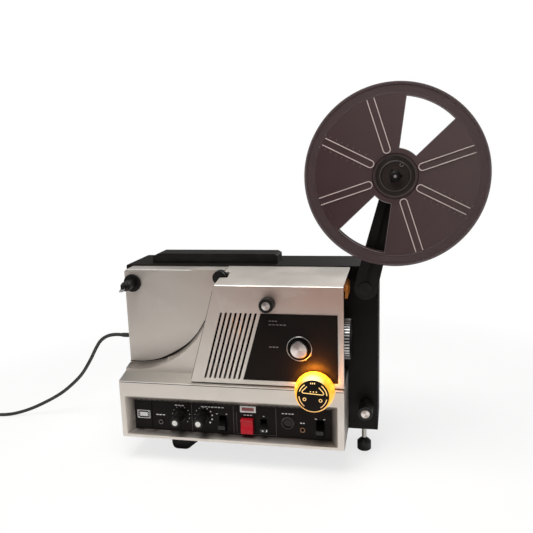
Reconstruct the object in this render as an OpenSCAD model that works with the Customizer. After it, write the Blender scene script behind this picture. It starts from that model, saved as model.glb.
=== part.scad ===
// Sound film projector for narrow-gauge film, with its supply reel on a folding arm.
// Machine frame: x from the base's left end, y back from the base's front face,
// z up from the underside of the base. placed() moves that frame to the part's origin.

/* [Base] */
// Width of the silver base
base_w = 285; // [275:1:300]
// Height of the base's front face
base_h = 75.5; // [72:0.5:80]
// Depth from the base's front to the rear housing
deck_d = 63; // [60:1:68]
// Rise of the deck behind the sloping ledge
deck_rise = 5.5; // [4:0.5:8]
// Depth of the sloping ledge
ledge_d = 23; // [18:1:28]
// Clear height between the table and the base
stand_h = 33; // [28:1:40]
// Wall of the moulded casings
wall = 3; // [2:0.5:3.5]

/* [Control panel] */
// Depth of the control recess
recess_d = 10; // [8:0.5:12]
// Thickness of the control panel
panel_t = 2.5; // [2:0.5:3]
// Left edge of the control panel
panel_x0 = 14; // [12:1:18]
// Casing to the right of the control panel
panel_right = 16; // [13:1:19]
// Lower edge of the control panel
panel_z0 = 7; // [6:0.5:9]
// Upper edge of the control panel
panel_z1 = 46.5; // [45:0.5:49]
// Flare of the recess on either side
flare_x = 8; // [5:0.5:9]
// Flare of the recess at the top
flare_top = 9; // [6:0.5:10]
// Flare of the recess at the bottom
flare_low = 3.5; // [2:0.5:5]

/* [Rear housing] */
// Overhang of the rear housing to the left of the base
house_left = 7; // [5:0.5:12]
// Overhang of the rear housing to the right of the base
house_right = 37.5; // [35:0.5:45]
// Depth of the rear housing with its cover
house_d = 71; // [68:1:78]
// Height of the rear housing
house_h = 214; // [212:1:220]
// Depth of the removable rear cover
rear_cover_d = 22; // [20:1:26]

/* [Film cover] */
// Set-back of the film cover's front face
cover_y = 3; // [2.5:0.5:4]
// Gap between the base's front edge and the film cover
cover_lift = 2.5; // [2:0.5:3.5]
// Drop from the housing's top to the cover's top front edge
cover_drop = 12; // [10:0.5:14]
// Room between the cover's left foot and the lamp house
lamp_room = 43; // [41:1:46]
// Lean of the cover's left edge, sideways per unit of height
cover_lean = 0.29; // [0.27:0.01:0.3]
// Sheet thickness of the film cover
cover_t = 2.5; // [2:0.5:3]
// Number of slanted cooling slots
slot_count = 8; // [6:1:9]
// Width of one cooling slot
slot_w = 2.6; // [2:0.1:3]
// Spacing of the cooling slots
slot_pitch = 6.1; // [5.8:0.1:6.2]

/* [Take-up side] */
// Face of the take-up panel behind the base's front
takeup_y = 40; // [38:1:42]
// Drop from the housing's top to the take-up panel's top
takeup_drop = 2; // [1:0.5:4]
// Take-up spindle, distance from the left end
takeup_x = 10.7; // [10:0.1:12]
// Take-up spindle, depth under the housing's top
takeup_low = 19.7; // [19:0.1:22]
// Radius of the reel bay at the panel
bay_r = 107; // [106.5:0.5:109]
// Spindle radius that a reel's core slides over
spindle_r = 6.2; // [6:0.1:6.3]

/* [Optics] */
// Film plane, distance behind the base's front
film_y = 30; // [29:0.5:31]
// Rise of the optical axis over the base's front edge
optic_rise = 55.5; // [54:0.5:58]
// Radius of the ribbed lens ring
lens_ring_r = 24; // [22:0.5:25]
// Radius of the lens tube
lens_r = 17; // [16.5:0.1:17.5]
// Overhang of the lens past the base's right end
lens_out = 6; // [4:0.5:9]
// Length of the ribbed lens ring
lens_ring_l = 18; // [15:0.5:18]

/* [Supply arm and reel] */
// Arm pivot, distance past the base's right end
arm_out = 23; // [21:0.5:24]
// Arm pivot, depth under the housing's top
arm_low = 23; // [20:1:26]
// Arm length from pivot to reel
arm_l = 138; // [136:1:146]
// Lean of the arm to the right of upright
arm_lean = 14.2; // [12:0.1:16]
// Thickness of the arm
arm_t = 12; // [10:0.5:12]
// Radius of the arm's round end
arm_end_r = 14; // [13:0.5:14.5]
// Outer diameter of the supply reel
reel_d = 205; // [190:1:210]
// Width of the reel over its flanges
reel_w = 13; // [12:0.5:13.5]
// Thickness of one reel flange
flange_t = 1.5; // [1.2:0.1:2]
// Radius of the reel's winding core
core_r = 30; // [28:1:31]

/* [Handle and feet] */
// Length of the carrying handle
handle_l = 170; // [150:1:180]
// Depth of the carrying handle
handle_d = 31; // [28:1:34]
// Height of the carrying handle
handle_h = 12; // [10:0.5:13]
// Radius of the height foot's pad
pad_r = 9; // [8:0.5:10]
// Radius of the height foot's rod
foot_rod_r = 3; // [2.8:0.1:3.4]

/* [Mode knob] */
// Radius of the lit knob at its back
mode_r = 24; // [22:0.5:24.5]
// Radius of the lit knob at its front
mode_front_r = 20.5; // [20:0.5:21.5]
// Depth of the lit knob
mode_depth = 17; // [14:0.5:18]
// Lit knob, distance from the base's right end
mode_in = 34.7; // [33:0.1:37]

/* [Mains lead] */
// Diameter of the mains lead
cord_d = 5; // [4.6:0.1:5]
// Turns in each layer of the put-away coil
coil_turns = 2.75; // [2.75:1:2.75]

/* [Hidden] */
$fn = 64;
// Overshoot of cutting tools
eps = 0.5;
// Thickness of a cutting tool's thin end
thin = 0.01;
// Radial running clearance of a shaft in its hole
run = 0.05;
// Gap between parts that move past each other
gap = 0.4;
// Gap between casings that meet
seam = 0.6;

// Places taken from the driving sizes
house_x0 = -house_left;
house_x1 = base_w + house_right;
deck_z = base_h + deck_rise;
panel_x1 = base_w - panel_right;
cover_z0 = base_h + cover_lift;
cover_z1 = house_h - cover_drop;
takeup_z1 = house_h - takeup_drop;
takeup_z = house_h - takeup_low;
optic_z = base_h + optic_rise;
arm_x = base_w + arm_out;
arm_z = house_h - arm_low;
mode_x = base_w - mode_in;

// Row along the optical axis, from the lens back to the lamp and the cover's left foot
lens_x1 = base_w + lens_out;
lens_tube_l = 46;
lens_x0 = lens_x1 - lens_tube_l;
gate_back = 23;
gate_x = lens_x0 - gate_back;
shutter_back = 10;
shutter_x = gate_x - shutter_back;
belt_back = 8;
belt_x = shutter_x - belt_back;
worm_back = 14;
worm_x = belt_x - worm_back;
lamp_x1 = worm_x;
lamp_l = 52;
lamp_x0 = lamp_x1 - lamp_l;
cover_x0 = lamp_x0 - lamp_room;

// Depths and the reel's place
house_y0 = deck_d;
house_y1 = deck_d + house_d;
rear_cover_y = house_y1 - rear_cover_d;
wall_back = house_y0 + wall;
reel_r = reel_d / 2;
arm_dx = arm_l * sin(arm_lean);
arm_dz = arm_l * cos(arm_lean);
reel_x = arm_x + arm_dx;
reel_z = arm_z + arm_dz;
reel_y0 = film_y - reel_w / 2;
reel_y1 = film_y + reel_w / 2;
arm_gap = 5.5;
arm_y0 = reel_y1 + arm_gap;
arm_y1 = arm_y0 + arm_t;
mode_z = base_h;
mode_y1 = -gap;
mode_y0 = mode_y1 - mode_depth;
panel_face = recess_d;
panel_back = recess_d + panel_t;
screw_head = 1.6;
mid_x = (house_x0 + reel_x + reel_r) / 2;
mid_y = (mode_y0 + house_y1 + screw_head) / 2;

// Silver of the casings
silver = [0.80, 0.77, 0.73];
black = [0.09, 0.09, 0.09];
steel = [0.62, 0.62, 0.64];

// Moves the machine frame to the middle of the footprint on the table.
module placed() { translate([-mid_x, -mid_y, stand_h]) children(); }
// Extrudes an outline drawn in x and z from y0 towards the back.
module xz(y0, depth) { translate([0, y0 + depth, 0]) rotate([90, 0, 0]) linear_extrude(depth) children(); }
// Extrudes an outline drawn in y and z from x0 to the right.
module yz(x0, width) { translate([x0, 0, 0]) rotate([90, 0, 90]) linear_extrude(width) children(); }
// Puts children with their z axis along +y at a place on the machine.
module along_y(x, y, z) { translate([x, y, z]) rotate([-90, 0, 0]) children(); }
// Puts children with their z axis along +x at a place on the machine.
module along_x(x, y, z) { translate([x, y, z]) rotate([0, 90, 0]) children(); }
module rod_y(x, z, y0, y1, r) { along_y(x, y0, z) cylinder(h = y1 - y0, r = r); }
module rod_x(y, z, x0, x1, r) { along_x(x0, y, z) cylinder(h = x1 - x0, r = r); }
module block(x0, y0, z0, x1, y1, z1) { translate([x0, y0, z0]) cube([x1 - x0, y1 - y0, z1 - z0]); }
// Left edge of the film cover at a height.
function lean_x(z) = cover_x0 + (z - cover_z0) * cover_lean;

// Base: a silver casing with a flared control recess
mode_boss_r = 15;
mode_boss_l = 24;
mode_shaft_r = 4;
floor_t = 2.5;
floor_gap = 0.2;
roof_t = 6;
hollow_z1 = base_h - roof_t;
pilot_r = 3;
pilot_l = 6;
pilot_offset = 10;

module recess() {
    hull() {
        block(panel_x0 - flare_x, -eps, panel_z0 - flare_low, panel_x1 + flare_x, 0, panel_z1 + flare_top);
        block(panel_x0, panel_face - thin, panel_z0, panel_x1, panel_face, panel_z1);
    }
    block(panel_x0, panel_face - thin, panel_z0, panel_x1, panel_back + eps, panel_z1);
}

module base_housing() {
    color(silver) placed() difference() {
        union() {
            yz(0, base_w) polygon([[0, 0], [deck_d, 0], [deck_d, deck_z], [ledge_d, deck_z], [0, base_h]]);
            rod_y(mode_x, mode_z, 0, mode_boss_l, mode_boss_r);
        }
        recess();
        block(wall, panel_back, -eps, base_w - wall, deck_d - wall, hollow_z1);
        rod_y(mode_x, mode_z, -eps, mode_boss_l + eps, mode_shaft_r + run);
    }
}

module base_floor() {
    color(black) placed() difference() {
        block(wall + floor_gap, panel_back + floor_gap, 0,
            base_w - wall - floor_gap, deck_d - wall - floor_gap, floor_t);
        for (i = [0 : vent_count - 1])
            block(vent_x + i * vent_pitch, deck_d / 2, -eps, vent_x + i * vent_pitch + vent_w,
                deck_d - wall - vent_edge, floor_t + eps);
    }
}
vent_count = 7;
vent_x = 120;
vent_pitch = 12;
vent_w = 4;
vent_edge = 8;

// Controls on the panel: a share of the panel's width, and a height
function on_panel(share, z) = [panel_x0 + share * (panel_x1 - panel_x0), z];
monitor_at = on_panel(0.1392, 18.7);
volume_at = on_panel(0.247, 29);
sound_at = on_panel(0.3647, 29.5);
sound_switch_at = on_panel(0.4627, 21.5);
display_at = on_panel(0.5922, 42.3);
record_at = on_panel(0.5882, 21);
toggle_at = on_panel(0.6686, 21);
din_at = on_panel(0.7882, 27.5);
mic_at = on_panel(0.86, 19.3);
speed_switch_at = on_panel(0.9451, 22.5);
knob_r = 7;
knob_tip_r = 6;
knob_ribs = 18;
knob_rib_h = 0.5;
knob_skirt = 6;
knob_l = 23;
cap_r = 3.6;
cap_t = 0.8;
pot_shaft_r = 3;
pot_r = 8.5;
pot_l = 13;
pot_end = 2;
pot_shaft_end = 3;
panel_fit = 0.15;
jack_r = 3.4;
jack_bore_r = 1.8;
jack_l = 14;
jack_lip = 1.2;
jack_seat = 0.4;
jack_end = 2;
barrel_play = 0.05;
din_r = 8;
din_l = 12;
din_pin_r = 0.8;
din_pin_ring = 4;
din_seat = 0.5;
din_rim = 1.2;
din_cup = 1;
display_w = 20;
display_h = 8.2;
display_lip = 1;
lever_w = 9;
lever_slot_w = lever_w + 2 * gap;
lever_slot_h = 21;
button_w = 15.5;
button_h = 19;
button_out = 6;
button_in = 4;
finger_r = 15;
finger_dip = 1;
finger_up = 2;
toggle_w = 7;
toggle_slot_w = toggle_w + 2 * gap;
toggle_slot_h = 19;
badge_x1 = 37.5;
groove_w = 1.6;
groove_d = 1;

module slot_through(at, w, h) {
    block(at[0] - w / 2, panel_face - eps, at[1] - h / 2, at[0] + w / 2, panel_back + eps, at[1] + h / 2);
}

module control_panel() {
    color(black) placed() difference() {
        block(panel_x0 + panel_fit, panel_face, panel_z0 + panel_fit,
            panel_x1 - panel_fit, panel_back, panel_z1 - panel_fit);
        for (at = [volume_at, sound_at])
            rod_y(at[0], at[1], panel_face - eps, panel_back + eps, pot_shaft_r + run);
        for (at = [monitor_at, mic_at])
            rod_y(at[0], at[1], panel_face - eps, panel_back + eps, jack_r - jack_seat);
        rod_y(din_at[0], din_at[1], panel_face - eps, panel_back + eps, din_r - din_seat);
        slot_through(sound_switch_at, lever_slot_w, lever_slot_h);
        slot_through(speed_switch_at, lever_slot_w, lever_slot_h);
        slot_through(record_at, button_w + 2 * gap, button_h + 2 * gap);
        slot_through(toggle_at, toggle_slot_w, toggle_slot_h);
        block(badge_x1, panel_face - eps, panel_z0 - eps, badge_x1 + groove_w, panel_face + groove_d,
            panel_z1 + eps);
    }
}

module level_display() {
    color([0.85, 0.82, 0.8]) placed()
        block(display_at[0] - display_w / 2, panel_face - display_lip, display_at[1] - display_h / 2,
            display_at[0] + display_w / 2, panel_face, display_at[1] + display_h / 2);
}

module jack(at) {
    difference() {
        union() {
            rod_y(at[0], at[1], panel_face - jack_lip, panel_face, jack_r);
            rod_y(at[0], at[1], panel_face, panel_face + jack_l, jack_r - jack_seat - barrel_play);
        }
        rod_y(at[0], at[1], panel_face - jack_lip - eps, panel_face + jack_l - jack_end, jack_bore_r);
    }
}

module panel_sockets() {
    color(steel) placed() {
        jack(monitor_at);
        jack(mic_at);
        difference() {
            union() {
                rod_y(din_at[0], din_at[1], panel_face - jack_lip, panel_face, din_r);
                rod_y(din_at[0], din_at[1], panel_face, panel_face + din_l, din_r - din_seat - barrel_play);
            }
            rod_y(din_at[0], din_at[1], panel_face - jack_lip - eps, panel_face + din_cup, din_r - din_rim);
            for (a = [-90 : 45 : 90])
                rod_y(din_at[0] + din_pin_ring * sin(a), din_at[1] + din_pin_ring * cos(a),
                    panel_face, panel_face + din_l / 2, din_pin_r);
        }
    }
}

module potentiometers() {
    color(steel) placed() for (at = [volume_at, sound_at]) difference() {
        rod_y(at[0], at[1], panel_back, panel_back + pot_l, pot_r);
        rod_y(at[0], at[1], panel_back - eps, panel_back + pot_l - pot_end, pot_shaft_r + run);
    }
}

board_t = 1.6;
board_lift = 4;
board_z = floor_t + board_lift;
board_x0 = 30;
board_right = 95;
board_x1 = base_w - board_right;
board_y0 = 30;
board_gap = 2;
standoff_r = 3;
standoff_in = 6;
can_count = 6;
can_in = 20;
can_pitch = 22;
can_r = 5;
can_h = 12;
can_step = 5;
sink_in = 12;
sink_t = 2;
sink_h = 24;
module amplifier_board() {
    board_y1 = deck_d - wall - board_gap;
    board_mid = (board_y0 + board_y1) / 2;
    color([0.16, 0.36, 0.2]) placed() {
        block(board_x0, board_y0, board_z, board_x1, board_y1, board_z + board_t);
        for (x = [board_x0 + standoff_in, board_x1 - standoff_in])
            translate([x, board_mid, floor_t]) cylinder(h = board_lift, r = standoff_r);
        for (i = [0 : can_count - 1])
            translate([board_x0 + can_in + i * can_pitch, board_mid, board_z + board_t])
                cylinder(h = can_h + can_step * (i % 3), r = can_r);
        // Heat sink along the back edge
        block(board_x0 + sink_in, board_y1 - 2 * sink_t, board_z + board_t,
            board_x1 - sink_in, board_y1 - sink_t, board_z + sink_h);
    }
}

// A turning control: a tapered cap on a shaft, turning on the y axis
module small_knob(at) {
    color(black) placed() {
        along_y(at[0], panel_face - gap - knob_l, at[1]) linear_extrude(knob_l)
            ribbed_outline(knob_tip_r, knob_ribs, knob_rib_h);
        rod_y(at[0], at[1], panel_face - gap - knob_skirt, panel_face - gap, knob_r);
        rod_y(at[0], at[1], panel_face - gap - knob_l - cap_t, panel_face - gap - knob_l, cap_r);
        rod_y(at[0], at[1], panel_face - gap, panel_back + pot_l - pot_shaft_end, pot_shaft_r);
    }
}
module volume_knob() { small_knob(volume_at); }
module sound_knob() { small_knob(sound_at); }

// A rocking lever on a cross pin behind the panel
lever_pivot_in = 4;
lever_pivot_y = panel_back + lever_pivot_in;
lever_out = 8;
lever_h = 6;
lever_pin_r = 2.5;
lever_tilt = 12;
lever_tip = 1;
module rocking_lever(at, w) {
    translate([at[0], lever_pivot_y, at[1]]) rotate([lever_tilt, 0, 0]) {
        along_x(-w / 2, 0, 0) cylinder(h = w, r = lever_pin_r);
        hull() {
            translate([-w / 2, panel_face - lever_out - lever_pivot_y, -lever_h / 2])
                cube([w, lever_tip, lever_h]);
            translate([-w / 2, -lever_tip, -lever_pin_r]) cube([w, lever_tip, 2 * lever_pin_r]);
        }
    }
}
module sound_switch() { color(black) placed() rocking_lever(sound_switch_at, lever_w); }
module speed_switch() { color(black) placed() rocking_lever(speed_switch_at, lever_w); }
module record_toggle() { color(black) placed() rocking_lever(toggle_at, toggle_w); }

module record_button() {
    color([0.78, 0.08, 0.1]) placed() difference() {
        block(record_at[0] - button_w / 2, panel_face - button_out, record_at[1] - button_h / 2,
            record_at[0] + button_w / 2, panel_back + button_in, record_at[1] + button_h / 2);
        // Finger hollow across the front of the key
        along_x(record_at[0] - button_w, panel_face - button_out - finger_r + finger_dip, record_at[1] + finger_up)
            cylinder(h = 2 * button_w, r = finger_r);
    }
}

// Take-up panel with the draught wall of the reel bay
bay_draft = 4;
riser_rise = 69;
riser_z1 = deck_z + riser_rise;
shaft_r = 4;
roller_low = 9.5;
roller_in = 1.5;
roller_z = house_h - roller_low;
roller_at = [lean_x(roller_z) - roller_in, roller_z];
roller_r = 8.5;
roller_waist = 2;
roller_rim = 3;
roller_slope = 1;
roller_cap = 2;
roller_gap = 1;
roller_pin_r = 2;
roller_y0 = 28;
bay_slot_a0 = -67;
bay_slot_a1 = -56;
bay_slot_w = 8;
bay_slot_r = 9;
bay_seam_a0 = -98;
bay_seam_w = 1.5;
bay_seam_r = 3;
bay_step = 3;
bay_bite = 1;
panel_soft = 3;
module panel_outline(inset) {
    polygon([[inset, deck_z + inset],
        [lean_x(deck_z + inset) - seam - inset, deck_z + inset],
        [lean_x(takeup_z1 - inset) - seam - inset, takeup_z1 - inset],
        [inset + panel_soft, takeup_z1 - inset], [inset, takeup_z1 - inset - panel_soft]]);
}
// Sector of the bay's wall between two angles and two radii.
module bay_sector(a0, a1, r0, r1) {
    translate([takeup_x, takeup_z]) polygon(concat(
        [for (a = [a0 : bay_step : a1]) r0 * [cos(a), sin(a)]],
        [for (a = [a1 : -bay_step : a0]) r1 * [cos(a), sin(a)]]));
}
module bay_riser() {
    difference() {
        xz(ledge_d, takeup_y - ledge_d) polygon([[0, deck_z], [lean_x(deck_z) - seam, deck_z],
            [lean_x(riser_z1) - seam, riser_z1], [0, riser_z1]]);
        along_y(takeup_x, ledge_d - thin, takeup_z)
            cylinder(h = takeup_y - ledge_d + 2 * thin, r1 = bay_r + bay_draft, r2 = bay_r, $fn = 180);
        // Film slot through the draught wall, and the open seam to its left
        xz(takeup_y - bay_slot_w, bay_slot_w)
            bay_sector(bay_slot_a0, bay_slot_a1, bay_r - bay_bite, bay_r + bay_slot_r);
        xz(takeup_y - bay_seam_w, bay_seam_w)
            bay_sector(bay_seam_a0, bay_slot_a0, bay_r - bay_bite, bay_r + bay_seam_r);
    }
}
module take_up_panel() {
    color(silver) placed() {
        difference() {
            union() {
                xz(takeup_y, deck_d - takeup_y) panel_outline(0);
                bay_riser();
            }
            xz(takeup_y + wall, deck_d) panel_outline(wall);
            rod_y(takeup_x, takeup_z, takeup_y - eps, deck_d, shaft_r + run);
        }
        rod_y(roller_at[0], roller_at[1], roller_y0 + roller_cap + gap, takeup_y + wall, roller_pin_r);
    }
}

module exit_roller() {
    l = takeup_y - roller_y0 - roller_gap;
    color(black) placed() along_y(roller_at[0], roller_y0, roller_at[1]) rotate_extrude() polygon([
        [0, 0], [roller_r, 0], [roller_r, roller_rim], [roller_r - roller_waist, roller_rim + roller_slope],
        [roller_r - roller_waist, l - roller_rim - roller_slope], [roller_r, l - roller_rim], [roller_r, l],
        [roller_pin_r + run, l], [roller_pin_r + run, roller_cap], [0, roller_cap]]);
}

// Take-up spindle: flange, locating nose and the pulley behind the wall
takeup_flange_r = 11.5;
takeup_flange_t = 2.5;
spindle_l = 25;
nose_l = 4;
nose_taper = 2;
flap_half = 2;
flap_l = 5;
flap_low = 1;
pulley_gap = 1;
pulley_y = wall_back + pulley_gap;
pulley_t = 4;
pulley_vee = 1.5;
takeup_pulley_r = 14;
flange_y = takeup_y - takeup_flange_t;
module reel_nose() {
    rotate_extrude() polygon([[0, 0], [spindle_r, 0], [spindle_r, spindle_l - nose_l],
        [spindle_r - nose_taper, spindle_l], [0, spindle_l]]);
}
module take_up_spindle() {
    color(black) placed() {
        translate([takeup_x, flange_y, takeup_z]) rotate([90, 0, 0]) reel_nose();
        rod_y(takeup_x, takeup_z, flange_y, takeup_y - gap, takeup_flange_r);
        rod_y(takeup_x, takeup_z, takeup_y - gap, pulley_y + pulley_t, shaft_r);
        along_y(takeup_x, pulley_y, takeup_z) rotate_extrude() polygon([[0, 0], [takeup_pulley_r, 0],
            [takeup_pulley_r - pulley_vee, pulley_t / 2], [takeup_pulley_r, pulley_t], [0, pulley_t]]);
        // Fold-out flap that holds a reel on the spindle
        block(takeup_x - flap_half, flange_y - spindle_l - flap_l, takeup_z - flap_low, takeup_x + flap_half,
            flange_y - spindle_l, takeup_z + spindle_r - nose_taper);
    }
}

// Film cover: a bent sheet with slanted slots, a leaning end wall and a sloping crown
crown_rise = 10;
crown_flat = 8;
crown_end = 1;
crown_round = 1.5;
crown_soft = 2;
crown_share = 0.6;
crown_flare = 3.5;
slot_up = 6;
slot_down = 34.5;
slot_in = 16;
slot_z0 = cover_z0 + slot_up;
slot_z1 = cover_z1 - slot_down;
slot_x = lean_x(slot_z1) + slot_in;
slot_shift = (slot_z1 - slot_z0) * cover_lean;
fascia_in = 7;
fascia_x1 = base_w - fascia_in;
fascia_gap = 4.5;
fascia_t = 0.8;
focus_back = 12.5;
focus_low = 5;
focus_at = [lens_x0 - focus_back, optic_z - focus_low];
framing_in = 88.8;
framing_low = 21.7;
framing_at = [base_w - framing_in, cover_z1 - framing_low];
bezel_r = 15.1;
bezel_lip = 1.5;
bezel_play = 0.1;
framing_shaft_r = 3;
boss_gap = 1;
cover_gap = 0.3;
cover_back = deck_d - cover_gap;
cover_side = 5;
cover_over = 2;
roller_room = 3;
cover_z2 = cover_z1 + crown_rise + crown_end + cover_side;
function crown(o) = [[cover_y + o, cover_z1 - crown_round - o * crown_share],
    [cover_y + crown_soft + o * crown_share, cover_z1 - o],
    [cover_back - crown_flat, cover_z1 + crown_rise - o],
    [cover_back, cover_z1 + crown_rise + crown_end - o]];
module cover_sheet() {
    inner = crown(cover_t);
    polygon(concat([[cover_y, cover_z0]], crown(0), [for (i = [len(inner) - 1 : -1 : 0]) inner[i]],
        [[cover_y + cover_t, cover_z0]]));
}
module cover_block() {
    polygon(concat([[cover_y, cover_z0]], crown(0), [[cover_back, deck_z + seam], [ledge_d, deck_z + seam]]));
}
module leaning(x_left, x_right, z0, z1) {
    xz(-eps, deck_d + 2 * eps) polygon([[lean_x(z0) + x_left, z0], [lean_x(z0) + x_right, z0],
        [lean_x(z1) + x_right, z1], [lean_x(z1) + x_left, z1]]);
}
module slanted_slot(i) {
    x0 = slot_x + i * slot_pitch;
    xz(cover_y - eps, cover_t + 2 * eps) polygon([[x0 - slot_shift, slot_z0],
        [x0 - slot_shift + slot_w, slot_z0], [x0 + slot_w, slot_z1], [x0, slot_z1]]);
}
module film_cover() {
    color(silver) placed() difference() {
        union() {
            intersection() {
                yz(cover_x0 - cover_side, base_w - cover_x0 + cover_side + crown_flare) cover_sheet();
                leaning(0, base_w, cover_z0 - cover_over, cover_z2);
                // The right end leans out towards the back
                translate([0, 0, cover_z0 - cover_over]) linear_extrude(cover_z2 - cover_z0 + cover_over)
                    polygon([[0, 0], [base_w, 0], [base_w, cover_y + cover_t],
                        [base_w + crown_flare, cover_back + eps], [0, cover_back + eps]]);
            }
            intersection() {
                yz(cover_x0 - cover_side, base_w - cover_x0 + cover_side) cover_block();
                leaning(0, cover_t, cover_z0 - cover_over, cover_z2);
            }
        }
        for (i = [0 : slot_count - 1]) slanted_slot(i);
        rod_y(mode_x, mode_z, cover_y - eps, cover_y + cover_t + eps, mode_boss_r + boss_gap);
        rod_y(focus_at[0], focus_at[1], cover_y - eps, cover_y + cover_t + eps,
            bezel_r - bezel_lip + bezel_play);
        rod_y(framing_at[0], framing_at[1], cover_y - eps, cover_y + cover_t + eps, framing_shaft_r + run);
        rod_y(roller_at[0], roller_at[1], roller_y0 - roller_room, takeup_y + wall, roller_r + roller_room);
    }
}

module cover_fascia() {
    x_top = slot_x + slot_count * slot_pitch - slot_pitch + slot_w + fascia_gap;
    color(black) placed() difference() {
        xz(cover_y - fascia_t, fascia_t) polygon([[x_top - slot_shift, slot_z0], [fascia_x1, slot_z0],
            [fascia_x1, slot_z1], [x_top, slot_z1]]);
        rod_y(mode_x, mode_z, 0, cover_y + eps, mode_boss_r + boss_gap);
        rod_y(focus_at[0], focus_at[1], 0, cover_y + eps, bezel_r + bezel_play);
    }
}

// Focus control: a cupped bezel, and a knob whose pinion drives the lens
bezel_depth = 7;
bezel_wall = 1.6;
bezel_out = 0.7;
focus_r = 10.5;
focus_out = 7;
focus_edge = 1;
focus_gap = 0.6;
focus_shaft_in = 2;
focus_shaft_r = 2.5;
pinion_r = 5;
pinion_teeth = 16;
pinion_low = 0.25;
tooth_h = 0.9;
tooth_root = 0.36;
tooth_tip = 0.14;
rack_in = 0.5;
rack_w = 2.6;
pinion_over = 0.6;
rack_y0 = film_y - lens_r + rack_in;
rack_y1 = rack_y0 + rack_w;
module focus_bezel() {
    y0 = cover_y - fascia_t - bezel_out;
    cup_r = bezel_r - bezel_lip;
    color(steel) placed() difference() {
        union() {
            rod_y(focus_at[0], focus_at[1], y0, cover_y, bezel_r);
            rod_y(focus_at[0], focus_at[1], cover_y, cover_y + bezel_depth, cup_r);
        }
        rod_y(focus_at[0], focus_at[1], y0 - eps, cover_y + bezel_depth - bezel_wall, cup_r - bezel_wall);
        rod_y(focus_at[0], focus_at[1], y0, cover_y + bezel_depth + eps, focus_shaft_r + run);
    }
}
module pinion() {
    pitch = 360 / pinion_teeth;
    polygon([for (i = [0 : pinion_teeth - 1])
        for (p = [[-tooth_root, -1], [-tooth_tip, 1], [tooth_tip, 1], [tooth_root, -1]])
            let (a = (i + p[0]) * pitch, r = pinion_r - pinion_low + p[1] * tooth_h / 2)
                [r * sin(a), r * cos(a)]]);
}
module focus_knob() {
    l = focus_out + bezel_depth - bezel_wall - focus_gap;
    color(steel) placed() {
        along_y(focus_at[0], cover_y - focus_out, focus_at[1]) rotate_extrude() polygon([[0, 0],
            [focus_r - focus_edge, 0], [focus_r, focus_edge], [focus_r, l], [0, l]]);
        rod_y(focus_at[0], focus_at[1], cover_y + focus_shaft_in, rack_y1, focus_shaft_r);
        xz(rack_y0 - pinion_over, rack_y1 - rack_y0 + 2 * pinion_over) translate(focus_at) pinion();
    }
}

// Lens: a ribbed ring on a sliding tube with a rack along its side
lens_bore_r = 14;
lens_lip = 1;
lens_cone = 2.5;
lens_cone_r = 4;
rib_count = 40;
rib_h = 0.9;
rib_foot = 0.3;
rib_top = 0.2;
rack_z = focus_at[1] + pinion_r;
rack_h = 4;
rack_back = 18;
rack_root = 6;
rack_x0 = focus_at[0] - rack_back;
rack_teeth = 18;
rack_mid = (rack_teeth - 1) / 2;
rack_foot = 0.62;
rack_tip = 0.24;
rack_mesh = 0.2;
module ribbed_outline(r, count, h) {
    pitch = 360 / count;
    polygon([for (i = [0 : count - 1]) for (p = [[-rib_foot, 0], [-rib_top, 1], [rib_top, 1], [rib_foot, 0]])
        let (a = (i + p[0]) * pitch, q = r - h + p[1] * h) [q * cos(a), q * sin(a)]]);
}
module rack_tooth(x) {
    xz(rack_y0, rack_y1 - rack_y0) polygon([[x - rack_foot, rack_z + tooth_h],
        [x - rack_tip, rack_z - rack_mesh],
        [x + rack_tip, rack_z - rack_mesh], [x + rack_foot, rack_z + tooth_h]]);
}
module lens_barrel() {
    tooth_pitch = 2 * PI * pinion_r / pinion_teeth;
    color(black) placed() {
        difference() {
            union() {
                rod_x(film_y, optic_z, lens_x0, lens_x1 - lens_lip, lens_r);
                along_x(lens_x1 - lens_ring_l, film_y, optic_z) linear_extrude(lens_ring_l)
                    ribbed_outline(lens_ring_r, rib_count, rib_h);
                block(rack_x0, rack_y0, rack_z + tooth_h, lens_x0 + rack_root, rack_y1, rack_z + rack_h);
            }
            rod_x(film_y, optic_z, lens_x0 - eps, lens_x1 + eps, lens_bore_r);
            along_x(lens_x1 - lens_cone, film_y, optic_z)
                cylinder(h = lens_cone + thin, r1 = lens_bore_r, r2 = lens_bore_r + lens_cone_r);
        }
        for (i = [0 : rack_teeth - 1]) rack_tooth(focus_at[0] + (i - rack_mid) * tooth_pitch);
    }
}
glass_t = 3;
glass_bulge = 3;
glass_play = 0.03;
glass_front = 8;
glass_back = 10;
glass_r = lens_bore_r - glass_play;
// Half outline of a lens element, bulging on both faces
glass_outline = concat([for (a = [0 : 15 : 90]) [glass_r * sin(a), -glass_t / 2 - glass_bulge * cos(a)]],
    [for (a = [90 : -15 : 0]) [glass_r * sin(a), glass_t / 2 + glass_bulge * cos(a)]]);
module lens_glass() {
    color([0.75, 0.85, 0.9, 0.5]) placed() for (x = [lens_x1 - glass_front, lens_x0 + glass_back])
        along_x(x, film_y, optic_z) rotate_extrude() polygon(glass_outline);
}
holder_back = 6.5;
holder_x0 = lens_x0 + holder_back;
holder_l = 14;
holder_wall = 3.5;
holder_half = 14;
holder_top = 34;
holder_plate = 4;
holder_in = 4;
holder_bite = 2;
module lens_holder() {
    color(black) placed() difference() {
        union() {
            rod_x(film_y, optic_z, holder_x0, holder_x0 + holder_l, lens_r + holder_wall);
            block(holder_x0, film_y + lens_r - holder_bite, optic_z - holder_half,
                holder_x0 + holder_l, deck_d, optic_z + holder_half);
            block(holder_x0, deck_d - holder_plate, optic_z - holder_half,
                base_w - holder_in, deck_d, optic_z + holder_top);
        }
        rod_x(film_y, optic_z, holder_x0 - eps, holder_x0 + holder_l + eps, lens_r + run);
    }
}

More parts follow.
